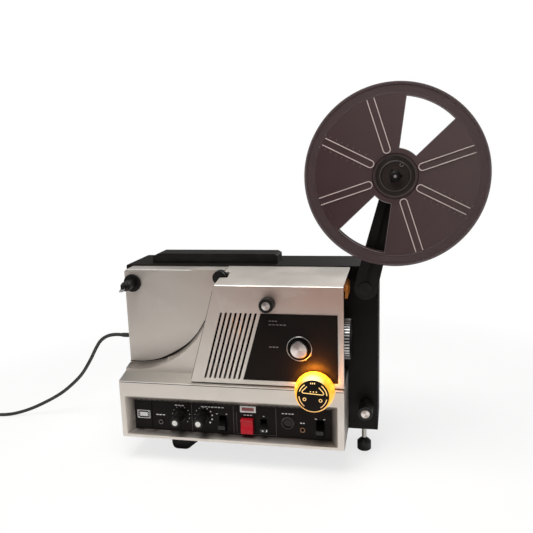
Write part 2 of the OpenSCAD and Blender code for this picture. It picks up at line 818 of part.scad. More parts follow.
// Film gate, pressure plate and the entry guide for the film's end
gate_t = 2;
gate_half = 36;
gate_side = 3;
gate_gap = 1;
gate_z0 = optic_z - gate_half;
gate_z1 = optic_z + gate_half;
frame_w = 5.8;
frame_h = 4.2;
film_half = 6;
plate_t = 2;
plate_gap = 0.4;
plate_short = 10;
plate_room = 1;
module film_gate() {
    color(steel) placed() difference() {
        block(gate_x + gate_gap, film_y - film_half - gate_side, gate_z0,
            gate_x + gate_gap + gate_t, deck_d, gate_z1);
        block(gate_x, film_y - frame_w / 2, optic_z - frame_h / 2, gate_x + gate_gap + gate_t + eps,
            film_y + frame_w / 2, optic_z + frame_h / 2);
    }
}
module pressure_plate() {
    x1 = gate_x + plate_gap;
    color(steel) placed() difference() {
        block(x1 - plate_t, film_y - film_half, gate_z0 + plate_short,
            x1, film_y + film_half, gate_z1 - plate_short);
        block(x1 - plate_t - eps, film_y - frame_w / 2 - plate_room, optic_z - frame_h,
            x1 + eps, film_y + frame_w / 2 + plate_room, optic_z + frame_h);
    }
}
entry_out = 3;
entry_x1 = base_w + entry_out;
entry_h = 19;
entry_z1 = cover_z1;
entry_z0 = entry_z1 - entry_h;
entry_t = 3;
entry_l = 22;
entry_bend = 6;
entry_inner = 8;
entry_half = 8;
module entry_guide() {
    color([0.85, 0.4, 0.08]) placed() xz(film_y - entry_half, deck_d - film_y + entry_half) polygon([
        [entry_x1 - entry_l, entry_z1 - 2 * entry_t], [entry_x1 - entry_inner, entry_z1 - entry_t],
        [entry_x1 - entry_t, entry_z1 - entry_t - entry_inner], [entry_x1 - entry_t, entry_z0],
        [entry_x1, entry_z0], [entry_x1, entry_z1 - entry_bend], [entry_x1 - entry_bend, entry_z1],
        [entry_x1 - entry_l, entry_z1 - entry_t]]);
}

// Lamp house with a halogen lamp in a bowl reflector
lamp_below = 27;
lamp_above = 41;
lamp_z0 = optic_z - lamp_below;
lamp_z1 = optic_z + lamp_above;
lamp_sheet = 1.2;
lamp_y0 = 9;
bowl_r = 24;
bowl_neck = 7;
bowl_l = 24;
bowl_t = 1.5;
bowl_steps = 6;
bowl_x1 = lamp_x1 - lamp_sheet;
window_r = 20;
module lamp_house() {
    color(steel) placed() difference() {
        block(lamp_x0, lamp_y0, lamp_z0, lamp_x1, deck_d, lamp_z1);
        block(lamp_x0 + lamp_sheet, lamp_y0 - eps, lamp_z0 - eps, lamp_x1 - lamp_sheet, deck_d - lamp_sheet,
            lamp_z1 + eps);
        rod_x(film_y, optic_z, lamp_x1 - 2 * lamp_sheet, lamp_x1 + eps, window_r);
    }
}
// Outline of the bowl's outer face, from the neck to the rim
bowl_curve = [for (i = [0 : bowl_steps]) let (t = i / bowl_steps)
    [bowl_neck + (bowl_r - bowl_neck) * sqrt(t), bowl_l * t]];
module lamp_reflector() {
    color([0.85, 0.85, 0.88]) placed() along_x(bowl_x1 - bowl_l, film_y, optic_z) rotate_extrude() polygon(
        concat(bowl_curve, [for (i = [bowl_steps : -1 : 0]) [bowl_curve[i][0] - bowl_t, bowl_curve[i][1]]]));
}
bulb_r = 4.5;
bulb_back = 6;
bulb_l = 18;
bulb_x = bowl_x1 - bowl_l - bulb_back;
socket_half = 9;
module lamp_bulb() {
    color([0.95, 0.95, 0.9, 0.6]) placed() along_x(bulb_x, film_y, optic_z) rotate_extrude()
        polygon(concat([[0, 0], [bulb_r, 0], [bulb_r, bulb_l]],
            [for (a = [10 : 10 : 90]) [bulb_r * cos(a), bulb_l + bulb_r * sin(a)]]));
}
module lamp_socket() {
    color([0.85, 0.82, 0.76]) placed()
        block(lamp_x0 + lamp_sheet, film_y - socket_half, optic_z - socket_half, bulb_x, deck_d - lamp_sheet,
            optic_z + socket_half);
}

// Drive: motor behind the wall, a belt through it, and the shutter in front
drive_y = 95;
drive_low = 20;
drive_z = optic_z - drive_low;
shutter_y = 35;
shutter_r = 25;
shutter_t = 1.2;
shutter_hub = 11;
shutter_gap = 60;
shutter_end = 4;
shutter_start = 2;
motor_back = 18;
motor_l = 60;
motor_x1 = worm_x - motor_back;
motor_x0 = motor_x1 - motor_l;
motor_r = 22;
mount_in = 14;
mount_low = 4;
mount_high = 14;
mount_bite = 6;
rotor_r = 2.5;
belt_w = 4;
belt_pulley_r = 10;
belt_flange = 1.5;
belt_t = 1.6;
belt_gap = 0.3;
belt_slot = 13.5;
belt_side = 3;
module motor_can() {
    color(steel) placed() difference() {
        union() {
            rod_x(drive_y, drive_z, motor_x0, motor_x1, motor_r);
            block(motor_x0 + mount_in, wall_back, drive_z + mount_low, motor_x1 - mount_in,
                drive_y - motor_r + mount_bite, drive_z + mount_high);
        }
        rod_x(drive_y, drive_z, motor_x0 - eps, motor_x1 + eps, rotor_r + run);
    }
}
worm_r = 5;
worm_groove = 0.8;
worm_step = 2;
worm_rings = 9;
wheel_teeth = 24;
wheel_r = 13.5;
wheel_half = 3;
wheel_root = 0.3;
wheel_tip = 0.12;
sprocket_z = drive_z - worm_r - wheel_r - gap;
fan_r = 24;
fan_hub_r = 7;
fan_hub_in = 5;
fan_blade_t = 1.2;
fan_w = 8;
fan_gap = 5;
fan_blades = 8;
rotor_start = 18;
rotor_end = 6;
module belt_pulley(x, y) {
    rim = belt_pulley_r + belt_flange;
    along_x(x, y, drive_z) rotate_extrude() polygon([[0, -belt_flange], [rim, -belt_flange], [rim, -gap],
        [belt_pulley_r, -gap], [belt_pulley_r, belt_w + gap], [rim, belt_w + gap], [rim, belt_w + belt_flange],
        [0, belt_w + belt_flange]]);
}
module motor_rotor() {
    fan_x = motor_x0 - fan_gap - fan_w;
    color(steel) placed() {
        rod_x(drive_y, drive_z, motor_x0 - rotor_start, belt_x + belt_w + rotor_end, rotor_r);
        belt_pulley(belt_x, drive_y);
        // Worm: grooved all along
        for (i = [0 : worm_rings - 1]) along_x(worm_x + worm_step * (i - worm_rings / 2), drive_y, drive_z)
            cylinder(h = worm_step, r1 = worm_r - worm_groove, r2 = worm_r);
        // Cooling fan
        rod_x(drive_y, drive_z, fan_x - 1, fan_x + fan_w + 1, fan_hub_r);
        for (i = [0 : fan_blades - 1]) translate([fan_x, drive_y, drive_z]) rotate([i * 360 / fan_blades, 0, 0])
            translate([0, fan_hub_in, -fan_blade_t / 2]) cube([fan_w, fan_r - fan_hub_in, fan_blade_t]);
    }
}
module belt_loop(r) {
    translate([shutter_y, drive_z]) circle(r);
    translate([drive_y, drive_z]) circle(r);
    translate([shutter_y, drive_z - r]) square([drive_y - shutter_y, 2 * r]);
}
module drive_belt() {
    color(black) placed() yz(belt_x, belt_w) difference() {
        belt_loop(belt_pulley_r + belt_gap + belt_t);
        belt_loop(belt_pulley_r + belt_gap);
    }
}
module shutter() {
    color(black) placed() {
        rod_x(shutter_y, drive_z, worm_x + shutter_start, shutter_x + shutter_end, rotor_r);
        belt_pulley(belt_x, shutter_y);
        along_x(shutter_x, shutter_y, drive_z) linear_extrude(shutter_t) difference() {
            circle(shutter_r);
            for (a = [0 : 120 : 240]) rotate(a) polygon(concat([[shutter_hub, 0]],
                [for (b = [0 : 10 : shutter_gap]) 2 * shutter_r * [cos(b), sin(b)]],
                [shutter_hub * [cos(shutter_gap), sin(shutter_gap)]]));
        }
    }
}
bracket_half = 7;
bracket_gap = 3;
module shutter_bracket() {
    color(steel) placed() difference() {
        block(worm_x + bracket_gap, shutter_y - bracket_half, drive_z - bracket_half,
            belt_x - bracket_gap, deck_d, drive_z + bracket_half);
        rod_x(shutter_y, drive_z, worm_x, belt_x, rotor_r + run);
    }
}

// Film sprocket on the worm wheel's shaft
sprocket_r = 8.5;
sprocket_teeth = 12;
sprocket_w = 14;
sprocket_rim = 3;
sprocket_waist = 1.5;
sprocket_slope = 0.5;
sprocket_over = 2;
tooth_w = 1;
tooth_out = 0.8;
tooth_sunk = 0.4;
shaft_behind = 6;
module film_sprocket() {
    pitch = 360 / wheel_teeth;
    y0 = film_y - sprocket_w / 2;
    color(steel) placed() {
        rod_y(worm_x, sprocket_z, y0 - sprocket_over, drive_y + shaft_behind, rotor_r);
        along_y(worm_x, y0, sprocket_z) rotate_extrude() polygon([[0, 0], [sprocket_r, 0],
            [sprocket_r, sprocket_rim], [sprocket_r - sprocket_waist, sprocket_rim + sprocket_slope],
            [sprocket_r - sprocket_waist, sprocket_w - sprocket_rim - sprocket_slope],
            [sprocket_r, sprocket_w - sprocket_rim], [sprocket_r, sprocket_w], [0, sprocket_w]]);
        for (i = [0 : sprocket_teeth - 1]) translate([worm_x, y0 + tooth_w, sprocket_z])
            rotate([0, i * 360 / sprocket_teeth, 0]) translate([-tooth_w / 2, 0, sprocket_r - tooth_sunk])
                cube([tooth_w, tooth_w, tooth_out + tooth_sunk]);
        xz(drive_y - wheel_half, 2 * wheel_half) translate([worm_x, sprocket_z])
            polygon([for (i = [0 : wheel_teeth - 1])
                for (p = [[-wheel_root, -1], [-wheel_tip, 0], [wheel_tip, 0], [wheel_root, -1]])
                    let (a = (i + p[0]) * pitch, r = wheel_r + p[1]) [r * sin(a), r * cos(a)]]);
    }
}

// Sound head with a hollow for a steady drum
head_back = 22;
head_half = 6;
head_x = worm_x - head_back;
head_lift = 2;
head_h = 14;
drum_r = 6;
drum_up = 3;
module sound_head() {
    z0 = deck_z + head_lift;
    color(steel) placed() difference() {
        block(head_x - head_half, film_y - head_half, z0, head_x + head_half, deck_d, z0 + head_h);
        rod_y(head_x, z0 + head_h + drum_up, film_y - head_half - eps, deck_d + eps, drum_r);
    }
}

// Rear housing, its cover and what is held inside
corner_r = 3;
corner_inner = 1;
module house_outline(inset) {
    x0 = house_x0 + inset;
    r = max(corner_r - inset, corner_inner);
    translate([x0 + r, inset]) square([house_x1 - inset - x0 - r, house_h - 2 * inset]);
    translate([x0, inset]) square([r + thin, house_h - 2 * inset - r]);
    translate([x0 + r, house_h - inset - r]) circle(r);
}
handle_x0 = 25;
handle_in = 14;
handle_y0 = house_y0 + handle_in;
leg_r = 3.5;
leg_inset = 22;
leg_l = 42;
leg_guide = 12;
guide_wall = 3;
foot_out = 19.5;
foot_in = 12;
foot_x = base_w + foot_out;
foot_y = house_y0 + foot_in;
foot_boss_r = 7;
foot_boss_h = 40;
clamp_x = arm_x;
clamp_z = 33;
clamp_r = 9;
clamp_l = 27;
clamp_ribs = 20;
clamp_rib_h = 0.6;
clamp_cap_r = 5.5;
clamp_cap_t = 1;
clamp_shaft_r = 3;
pivot_r = 5;
pivot_boss_wall = 6;
pivot_boss_l = 8;
pivot_seat = 0.02;
leg_x = [handle_x0 + leg_inset, handle_x0 + handle_l - leg_inset];
leg_y = handle_y0 + handle_d / 2;
relief_y = 100;
relief_z = 104;
relief_r = 6;
relief_neck = 1;
relief_flange = 3;
relief_l = 30;
relief_end = 1;
relief_play = 0.05;
module rear_housing() {
    color(black) placed() difference() {
        union() {
            difference() {
                xz(house_y0, rear_cover_y - house_y0) house_outline(0);
                xz(wall_back, house_d) house_outline(wall);
            }
            for (x = leg_x) translate([x, leg_y, house_h - wall - leg_guide])
                cylinder(h = leg_guide + wall, r = leg_r + guide_wall);
            translate([foot_x, foot_y, 0]) cylinder(h = foot_boss_h, r = foot_boss_r);
            rod_y(arm_x, arm_z, house_y0, wall_back + pivot_boss_l, pivot_r + pivot_boss_wall);
        }
        for (x = leg_x) translate([x, leg_y, house_h - wall - leg_guide - eps])
            cylinder(h = leg_guide + wall + 2 * eps, r = leg_r + run);
        translate([foot_x, foot_y, -eps]) cylinder(h = foot_boss_h + 2 * eps, r = foot_rod_r + run);
        rod_y(clamp_x, clamp_z, house_y0 - eps, foot_y - foot_rod_r - gap, clamp_shaft_r + run);
        rod_y(takeup_x, takeup_z, house_y0 - eps, wall_back + eps, shaft_r + run);
        rod_y(worm_x, sprocket_z, house_y0 - eps, wall_back + eps, rotor_r + run);
        block(belt_x - belt_side, house_y0 - eps, drive_z - belt_slot,
            belt_x + belt_w + belt_side, wall_back + eps, drive_z + belt_slot);
        rod_x(relief_y, relief_z, house_x0 - eps, house_x0 + wall + eps, relief_r - relief_neck);
        rod_y(arm_x, arm_z, house_y0 - eps, wall_back + pivot_boss_l + eps, pivot_r);
    }
}
speaker_in = 60.5;
speaker_x = house_x1 - speaker_in;
speaker_z = 130;
speaker_r = 36;
grille_half = 26;
rear_vents = 12;
rear_vent_gap = 18;
rear_vent_pitch = 9;
rear_vent_x = speaker_x - grille_half - rear_vent_gap - rear_vents * rear_vent_pitch;
rear_vent_z = 110;
rear_vent_w = 4;
rear_vent_h = 46;
grille_pitch = 8;
grille_w = 3;
grille_side = 3;
module rear_cover() {
    y0 = house_y1 - wall - eps;
    color(black) placed() difference() {
        xz(rear_cover_y, rear_cover_d) house_outline(0);
        xz(rear_cover_y - eps, rear_cover_d - wall + eps) house_outline(wall);
        for (i = [0 : rear_vents - 1]) let (x = rear_vent_x + i * rear_vent_pitch)
            block(x, y0, rear_vent_z, x + rear_vent_w, house_y1 + eps, rear_vent_z + rear_vent_h);
        for (i = [-grille_side : grille_side]) let (z = speaker_z + i * grille_pitch)
            block(speaker_x - grille_half, y0, z - grille_w / 2,
                speaker_x + grille_half, house_y1 + eps, z + grille_w / 2);
    }
}
screw_r = 3.5;
screw_inset = 12;
screw_slot_w = 1;
screw_slot_d = 0.7;
module cover_screws() {
    y1 = house_y1 + screw_head;
    color(steel) placed() for (x = [house_x0 + screw_inset, house_x1 - screw_inset])
        for (z = [screw_inset, house_h - screw_inset]) difference() {
            rod_y(x, z, house_y1, y1, screw_r);
            block(x - screw_r, y1 - screw_slot_d, z - screw_slot_w / 2,
                x + screw_r, y1 + eps, z + screw_slot_w / 2);
        }
}
magnet_r = 18;
magnet_l = 8;
basket_l = 24;
basket_rim = 2;
cone_in = 5;
cone_throat = 12;
cone_depth = 14;
cone_cap = 16;
speaker_l = rear_cover_d + magnet_l - wall;
module loudspeaker() {
    color(black) placed() along_y(speaker_x, rear_cover_y - magnet_l, speaker_z) rotate_extrude() polygon([
        [0, 0], [magnet_r, 0], [magnet_r, magnet_l], [speaker_r - basket_rim, basket_l], [speaker_r, basket_l],
        [speaker_r, speaker_l], [speaker_r - cone_in, speaker_l], [speaker_r - cone_in, basket_l + basket_rim],
        [cone_throat, cone_depth], [0, cone_cap]]);
}
trafo_x0 = 24;
trafo_w = 62;
trafo_h = 52;
trafo_d = 34;
trafo_back = 8;
winding_in = 12;
winding_out = 7;
module transformer() {
    y0 = wall_back + trafo_back;
    color(steel) placed() {
        block(trafo_x0, y0, wall, trafo_x0 + trafo_w, y0 + trafo_d, wall + trafo_h);
        block(trafo_x0 + winding_in, y0 - winding_out, wall + winding_in, trafo_x0 + trafo_w - winding_in,
            y0 + trafo_d + winding_out, wall + trafo_h - winding_in);
    }
}

// Carrying handle that pulls up on two legs
handle_slope = 8;
handle_end = 5;
module handle() {
    z0 = house_h + gap;
    color(black) placed() {
        xz(handle_y0, handle_d) polygon([[handle_x0, z0], [handle_x0 + handle_l, z0],
            [handle_x0 + handle_l, z0 + handle_h - handle_end / 2],
            [handle_x0 + handle_l - handle_end, z0 + handle_h],
            [handle_x0 + handle_slope, z0 + handle_h], [handle_x0, z0 + handle_h - handle_slope / 2]]);
        for (x = leg_x) translate([x, leg_y, z0 - leg_l]) cylinder(h = leg_l, r = leg_r);
    }
}

// Feet: two fixed shoes on the left, and one rod with a pad on the right
shoe_x = 51;
shoe_w = 41;
shoe_front = 36;
shoe_back = 26;
shoe_d = 20;
shoe_heel = 8;
shoe_toe = 14;
shoe_sole = 5;
shoe_flat = 17;
shoe_y = [shoe_front, house_y1 - shoe_back];
module fixed_feet() {
    color(black) placed() for (y = shoe_y) xz(y, shoe_d) polygon([[shoe_x, 0], [shoe_x, shoe_heel - stand_h],
        [shoe_x + shoe_sole / 3, shoe_heel / 3 - stand_h], [shoe_x + shoe_sole, -stand_h],
        [shoe_x + shoe_sole + shoe_flat, -stand_h], [shoe_x + shoe_w - shoe_sole / 2, shoe_toe - stand_h],
        [shoe_x + shoe_w, shoe_toe + shoe_sole - stand_h], [shoe_x + shoe_w, 0]]);
}
pad_h = 16;
pad_edge = 1;
pad_shoulder = 5;
pad_top = 3;
pad_slope = 2;
// Height of the rod's top above the base's underside
foot_rod_top = 66;
module height_foot() {
    color(black) placed() translate([foot_x, foot_y, -stand_h]) rotate_extrude() polygon([[0, 0],
        [pad_r - pad_edge, 0], [pad_r, pad_edge], [pad_r, pad_h - pad_shoulder],
        [pad_r - pad_top, pad_h - pad_slope], [foot_rod_r, pad_h],
        [foot_rod_r, foot_rod_top + stand_h], [0, foot_rod_top + stand_h]]);
}
module clamp_knob() {
    y0 = house_y0 - gap - clamp_l;
    color(black) placed() {
        along_y(clamp_x, y0, clamp_z) linear_extrude(clamp_l) ribbed_outline(clamp_r, clamp_ribs, clamp_rib_h);
        rod_y(clamp_x, clamp_z, y0 - clamp_cap_t, y0, clamp_cap_r);
        rod_y(clamp_x, clamp_z, house_y0 - gap, foot_y - foot_rod_r - 2 * gap, clamp_shaft_r);
    }
}

// Folding supply arm with the reel
pivot_head_r = 7.5;
pivot_head_t = 2;
module arm_pivot() {
    y0 = arm_y0 - gap;
    color(steel) placed() {
        rod_y(arm_x, arm_z, y0, wall_back + pivot_boss_l, pivot_r - pivot_seat);
        rod_y(arm_x, arm_z, y0 - pivot_head_t, y0, pivot_head_r);
    }
}
arm_tip_r = 10.5;
arm_foot_in = 2;
module arm_outline() {
    rotate(-arm_lean) {
        circle(arm_end_r);
        translate([0, arm_l]) circle(arm_tip_r);
        polygon([[-arm_end_r, 0], [arm_end_r, 0], [arm_tip_r, arm_l], [-arm_tip_r, arm_l]]);
    }
}
spindle_shaft_r = 4;
module supply_arm() {
    color(black) placed() difference() {
        union() {
            xz(arm_y0, arm_t) translate([arm_x, arm_z]) arm_outline();
            rod_y(arm_x, arm_z, arm_y1, house_y0 - gap, arm_end_r - arm_foot_in);
        }
        rod_y(arm_x, arm_z, arm_y0 - eps, house_y0, pivot_r + run);
        rod_y(reel_x, reel_z, arm_y0 - eps, arm_y1 + eps, spindle_shaft_r + run);
    }
}
spindle_back = 1.5;
clip_out = 2;
clip_t = 1.1;
collar_out = 3;
collar_start = 1.9;
collar_end = 7;
nose_over = 6;
nose_edge = 3;
module supply_spindle() {
    tip = arm_t + collar_end + reel_w + nose_over;
    shoulder = arm_t + collar_end;
    color(black) placed() translate([reel_x, arm_y1 + spindle_back, reel_z]) rotate([90, 0, 0]) rotate_extrude()
        polygon([[0, 0], [spindle_shaft_r + clip_out, 0], [spindle_shaft_r + clip_out, clip_t],
            [spindle_shaft_r, clip_t], [spindle_shaft_r, arm_t + collar_start],
            [spindle_r + collar_out, arm_t + collar_start], [spindle_r + collar_out, shoulder],
            [spindle_r, shoulder], [spindle_r, tip - nose_edge], [spindle_r - nose_taper, tip], [0, tip]]);
}
window_half = 19.5;
window_r0 = 31;
window_r1 = 88;
window_at = [63, 243];
rib_at = [18, 108, 153, 198, 288, 333];
flange_rib_r0 = 27;
flange_rib_r1 = 89;
flange_rib_half = 4;
flange_rib_h = 0.6;
flange_rib_w = 1;
flange_rim = 3;
window_step = 3;
// Depth to which a rib is rooted in its plate
root = 0.3;
hub_r = 23.4;
module flange_window(a) {
    rotate(a) polygon(concat(
        [for (b = [-window_half : window_step : window_half]) window_r1 * [cos(b), sin(b)]],
        [for (b = [window_half : -window_step : -window_half]) window_r0 * [cos(b), sin(b)]]));
}
module flange_plate() {
    linear_extrude(flange_t) difference() {
        circle(reel_r, $fn = 180);
        circle(hub_r);
        for (a = window_at) flange_window(a);
    }
    rotate_extrude($fn = 180) translate([reel_r - flange_rim, flange_t - root])
        square([flange_rim, flange_rib_h + root]);
    for (a = rib_at) rotate(a) translate([0, 0, flange_t - root]) linear_extrude(flange_rib_h + root)
        difference() {
            rib_loop(flange_rib_half + flange_rib_w / 2, flange_rib_r1);
            rib_loop(flange_rib_half - flange_rib_w / 2, flange_rib_r1 + eps);
        }
}
// Long loop, rounded at its hub end and open at the other.
module rib_loop(half, reach) {
    start = flange_rib_r0 + flange_rib_half;
    translate([start, 0]) circle(half);
    translate([start, -half]) square([reach - start, 2 * half]);
}
smoke = [0.22, 0.19, 0.19, 0.75];
module reel_front_flange() {
    color(smoke) placed() translate([reel_x, reel_y0 + flange_t, reel_z]) rotate([90, 0, 0]) flange_plate();
}
module reel_back_flange() {
    color(smoke) placed() translate([reel_x, reel_y1 - flange_t, reel_z]) rotate([-90, 0, 0])
        mirror([0, 1, 0]) flange_plate();
}
core_play = 0.06;
core_proud = 0.4;
core_face_r = 10;
core_step = 1.2;
key_in = 0.5;
key_d = 2;
key_w = 2;
module reel_core() {
    bore = spindle_r + core_play;
    rim = hub_r - run;
    back = reel_w + core_proud;
    color(black) placed() along_y(reel_x, reel_y0 - core_proud, reel_z) difference() {
        rotate_extrude() polygon([[bore, 0], [core_face_r, 0], [core_face_r, core_step], [rim, core_step],
            [rim, flange_t + core_proud], [core_r, flange_t + core_proud], [core_r, back - flange_t],
            [rim, back - flange_t], [rim, back], [bore, back]]);
        for (a = [0 : 120 : 240]) rotate(a) translate([spindle_r - key_in, -key_w / 2, -eps])
            cube([key_in + key_d, key_w, reel_w + 2 * eps + 1]);
    }
}

// Mode knob: a hollow amber ring, lit from inside, behind a dark dial
ring_wall = 2;
ring_edge = 0.8;
ring_edge_l = 2;
ring_rim = 4;
ring_face_t = 3;
dial_t = 1.2;
dial_in = 1.5;
mode_shaft_end = 4;
module mode_ring() {
    color([1, 0.72, 0.2, 0.9]) placed() along_y(mode_x, mode_y0 + dial_t, mode_z) rotate_extrude() polygon([
        [0, 0], [mode_front_r, 0], [mode_front_r + ring_edge, ring_edge_l], [mode_r, mode_depth - ring_rim],
        [mode_r, mode_depth - dial_t], [mode_r - ring_wall, mode_depth - dial_t],
        [mode_front_r - ring_wall, ring_face_t], [mode_shaft_r, ring_face_t],
        [mode_shaft_r, mode_depth + mode_boss_l - mode_shaft_end],
        [0, mode_depth + mode_boss_l - mode_shaft_end]]);
}
module mode_face() {
    color(black) placed() rod_y(mode_x, mode_z, mode_y0, mode_y0 + dial_t, mode_front_r - dial_in);
}
module pilot_bulb() {
    color([1, 0.9, 0.6, 0.8]) placed() translate([mode_x, 0, mode_z + pilot_offset]) rotate([90, 0, 0])
        rotate_extrude() polygon(concat([[0, 0], [pilot_r, 0], [pilot_r, pilot_l]],
            [for (a = [15 : 15 : 90]) [pilot_r * cos(a), pilot_l + pilot_r * sin(a)]]));
}
framing_r = 8.8;
framing_l = 13;
framing_ribs = 24;
framing_rib_h = 0.5;
framing_cap_r = 4.9;
framing_cap_t = 0.8;
framing_in_l = 5;
module framing_knob() {
    y0 = cover_y - gap - framing_l;
    color(black) placed() {
        along_y(framing_at[0], y0, framing_at[1]) linear_extrude(framing_l)
            ribbed_outline(framing_r, framing_ribs, framing_rib_h);
        rod_y(framing_at[0], framing_at[1], y0 - framing_cap_t, y0, framing_cap_r);
        rod_y(framing_at[0], framing_at[1], cover_y - gap, cover_y + cover_t + framing_in_l, framing_shaft_r);
    }
}

// Mains lead: the free run, the put-away coil and the plug
cord_r = cord_d / 2;
table = -stand_h;
lie = table + cord_r;
layer_gap = 0.5;
turn_gap = 1.5;
layer_step = cord_d + layer_gap;
turn_step = cord_d + turn_gap;
coil_r = 38;
coil_at = [-300, 60];
coil_start = [coil_at[0], coil_at[1] + coil_r];
tail_l = 30;
run_points = [[-38, 100, 104], [-50, 100, 104], [-64, 103, 100], [-77, 107, 91], [-88, 111, 77],
    [-100, 114, 58], [-118, 118, 34], [-138, 119, 15], [-158, 118, 0], [-182, 114, -13], [-206, 108, -23],
    [-230, 102, -29], [-252, 98.5, lie], [-276, 98, lie], [-290, 98, lie], [coil_start[0], coil_start[1], lie]];
function spline(p, i, t) =
    let (n = len(p) - 1, a = p[max(i - 1, 0)], b = p[i], c = p[i + 1], d = p[min(i + 2, n)])
    0.5 * (2 * b + (c - a) * t + (2 * a - 5 * b + 4 * c - d) * t * t + (3 * b - a - 3 * c + d) * t * t * t);
function smooth(p, k) =
    concat([for (i = [0 : len(p) - 2]) for (j = [0 : k - 1]) spline(p, i, j / k)], [p[len(p) - 1]]);
function unit(v) = v / norm(v);
function heading(p, i) = unit(p[min(i + 1, len(p) - 1)] - p[max(i - 1, 0)]);
function ring(p, i, r, sides, ref) = let (t = heading(p, i), u = unit(cross(t, ref)), v = cross(t, u))
    [for (k = [0 : sides - 1]) let (a = 360 * (k + 0.5) / sides) p[i] + r * (cos(a) * u + sin(a) * v)];
module tube(p, r, sides, ref) {
    n = len(p);
    points = [for (i = [0 : n - 1]) each ring(p, i, r, sides, ref)];
    skin = [for (i = [0 : n - 2]) for (k = [0 : sides - 1])
        let (a = i * sides + k, b = i * sides + (k + 1) % sides)
        each [[a, b, b + sides], [a, b + sides, a + sides]]];
    near = [for (k = [1 : sides - 2]) [0, k + 1, k]];
    far = [for (k = [1 : sides - 2]) let (o = (n - 1) * sides) [o, o + k, o + k + 1]];
    polyhedron(points = points, faces = concat(skin, near, far));
}
module cord_run() { color(black) placed() tube(smooth(run_points, 2), cord_r, 10, [0, 1, 0]); }
function coil_radius(t) = t < coil_turns ? coil_r - turn_step * t
    : t < coil_turns + climb ? coil_r - turn_step * coil_turns
    : coil_r - turn_step * (coil_total - t);
function coil_height(t) = t < coil_turns ? 0 : t < coil_turns + climb
    ? layer_step * (t - coil_turns) / climb : layer_step;
coil_rings = 24;
// Share of a turn in which the lead climbs to the upper layer
climb = 0.5;
coil_total = 2 * coil_turns + climb;
coil_points = concat(
    [for (i = [0 : coil_total * coil_rings]) let (t = i / coil_rings, a = 90 + 360 * t)
        [coil_at[0] + coil_radius(t) * cos(a), coil_at[1] + coil_radius(t) * sin(a), lie + coil_height(t)]],
    [[coil_start[0] - tail_l / 2, coil_start[1], lie + layer_step],
     [coil_start[0] - tail_l, coil_start[1], lie + layer_step]]);
module cord_coil() { color(black) placed() tube(coil_points, cord_r, 6, [0, 0, 1]); }
function path_length(p) = len(p) < 2 ? 0 : [for (i = 0, s = 0; i < len(p); s = s + (i + 1 < len(p)
    ? norm(p[i + 1] - p[i]) : 0), i = i + 1) s][len(p) - 1];
coil_gap = min([for (i = [0 : len(coil_points) - 1]) for (j = [i + coil_rings / 2 : len(coil_points) - 1])
    norm(coil_points[i] - coil_points[j])]) - cord_d;
echo(coil_gap = coil_gap, cord_length = path_length(smooth(run_points, 2)) + path_length(coil_points));
plug_l = 34;
plug_h = 2 * (lie + layer_step - table);
plug_w = 24;
plug_neck = 10;
plug_shoulder = 14;
plug_edge = 2;
pin_r = 2.4;
pin_l = 19;
pin_spacing = 19;
module plug() {
    x1 = coil_start[0] - tail_l;
    z = lie + layer_step;
    color(black) placed() {
        translate([x1, coil_start[1], z - plug_h / 2]) linear_extrude(plug_h) polygon([[0, -plug_neck / 2],
            [-plug_shoulder, -plug_w / 2], [plug_edge - plug_l, -plug_w / 2], [-plug_l, plug_edge - plug_w / 2],
            [-plug_l, plug_w / 2 - plug_edge], [plug_edge - plug_l, plug_w / 2], [-plug_shoulder, plug_w / 2],
            [0, plug_neck / 2]]);
        for (s = [-1, 1])
            rod_x(coil_start[1] + s * pin_spacing / 2, z, x1 - plug_l - pin_l, x1 - plug_l, pin_r);
    }
}
module strain_relief() {
    neck = relief_r - relief_neck - relief_play;
    color(black) placed() translate([house_x0 + wall, relief_y, relief_z]) rotate([0, -90, 0]) rotate_extrude()
        polygon([[0, 0], [neck, 0], [neck, wall], [relief_r, wall], [relief_r, wall + relief_flange],
            [cord_r + relief_end, wall + relief_l + relief_end], [0, wall + relief_l + relief_end]]);
}

base_housing();
base_floor();
control_panel();
level_display();
panel_sockets();
potentiometers();
amplifier_board();
take_up_panel();
film_cover();
cover_fascia();
focus_bezel();
rear_housing();
rear_cover();
cover_screws();
fixed_feet();
film_gate();
pressure_plate();
lens_holder();
entry_guide();
lamp_house();
lamp_reflector();
lamp_bulb();
lamp_socket();
shutter_bracket();
motor_can();
drive_belt();
transformer();
loudspeaker();
sound_head();
pilot_bulb();
strain_relief();
cord_run();
cord_coil();
plug();
arm_pivot();
supply_arm();
supply_spindle();
reel_front_flange();
reel_back_flange();
reel_core();
take_up_spindle();
mode_ring();
mode_face();
focus_knob();
lens_barrel();
lens_glass();
framing_knob();
volume_knob();
sound_knob();
sound_switch();
speed_switch();
record_toggle();
record_button();
handle();
height_foot();
clamp_knob();
exit_roller();
film_sprocket();
motor_rotor();
shutter();
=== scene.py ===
"""Dresses the sound film projector: finishes, printed marks, lit dial, smoked reel and mains lead."""
import logging
import math
from dataclasses import dataclass, field
from enum import Enum
from typing import Protocol

import bpy
from mathutils import Matrix, Vector


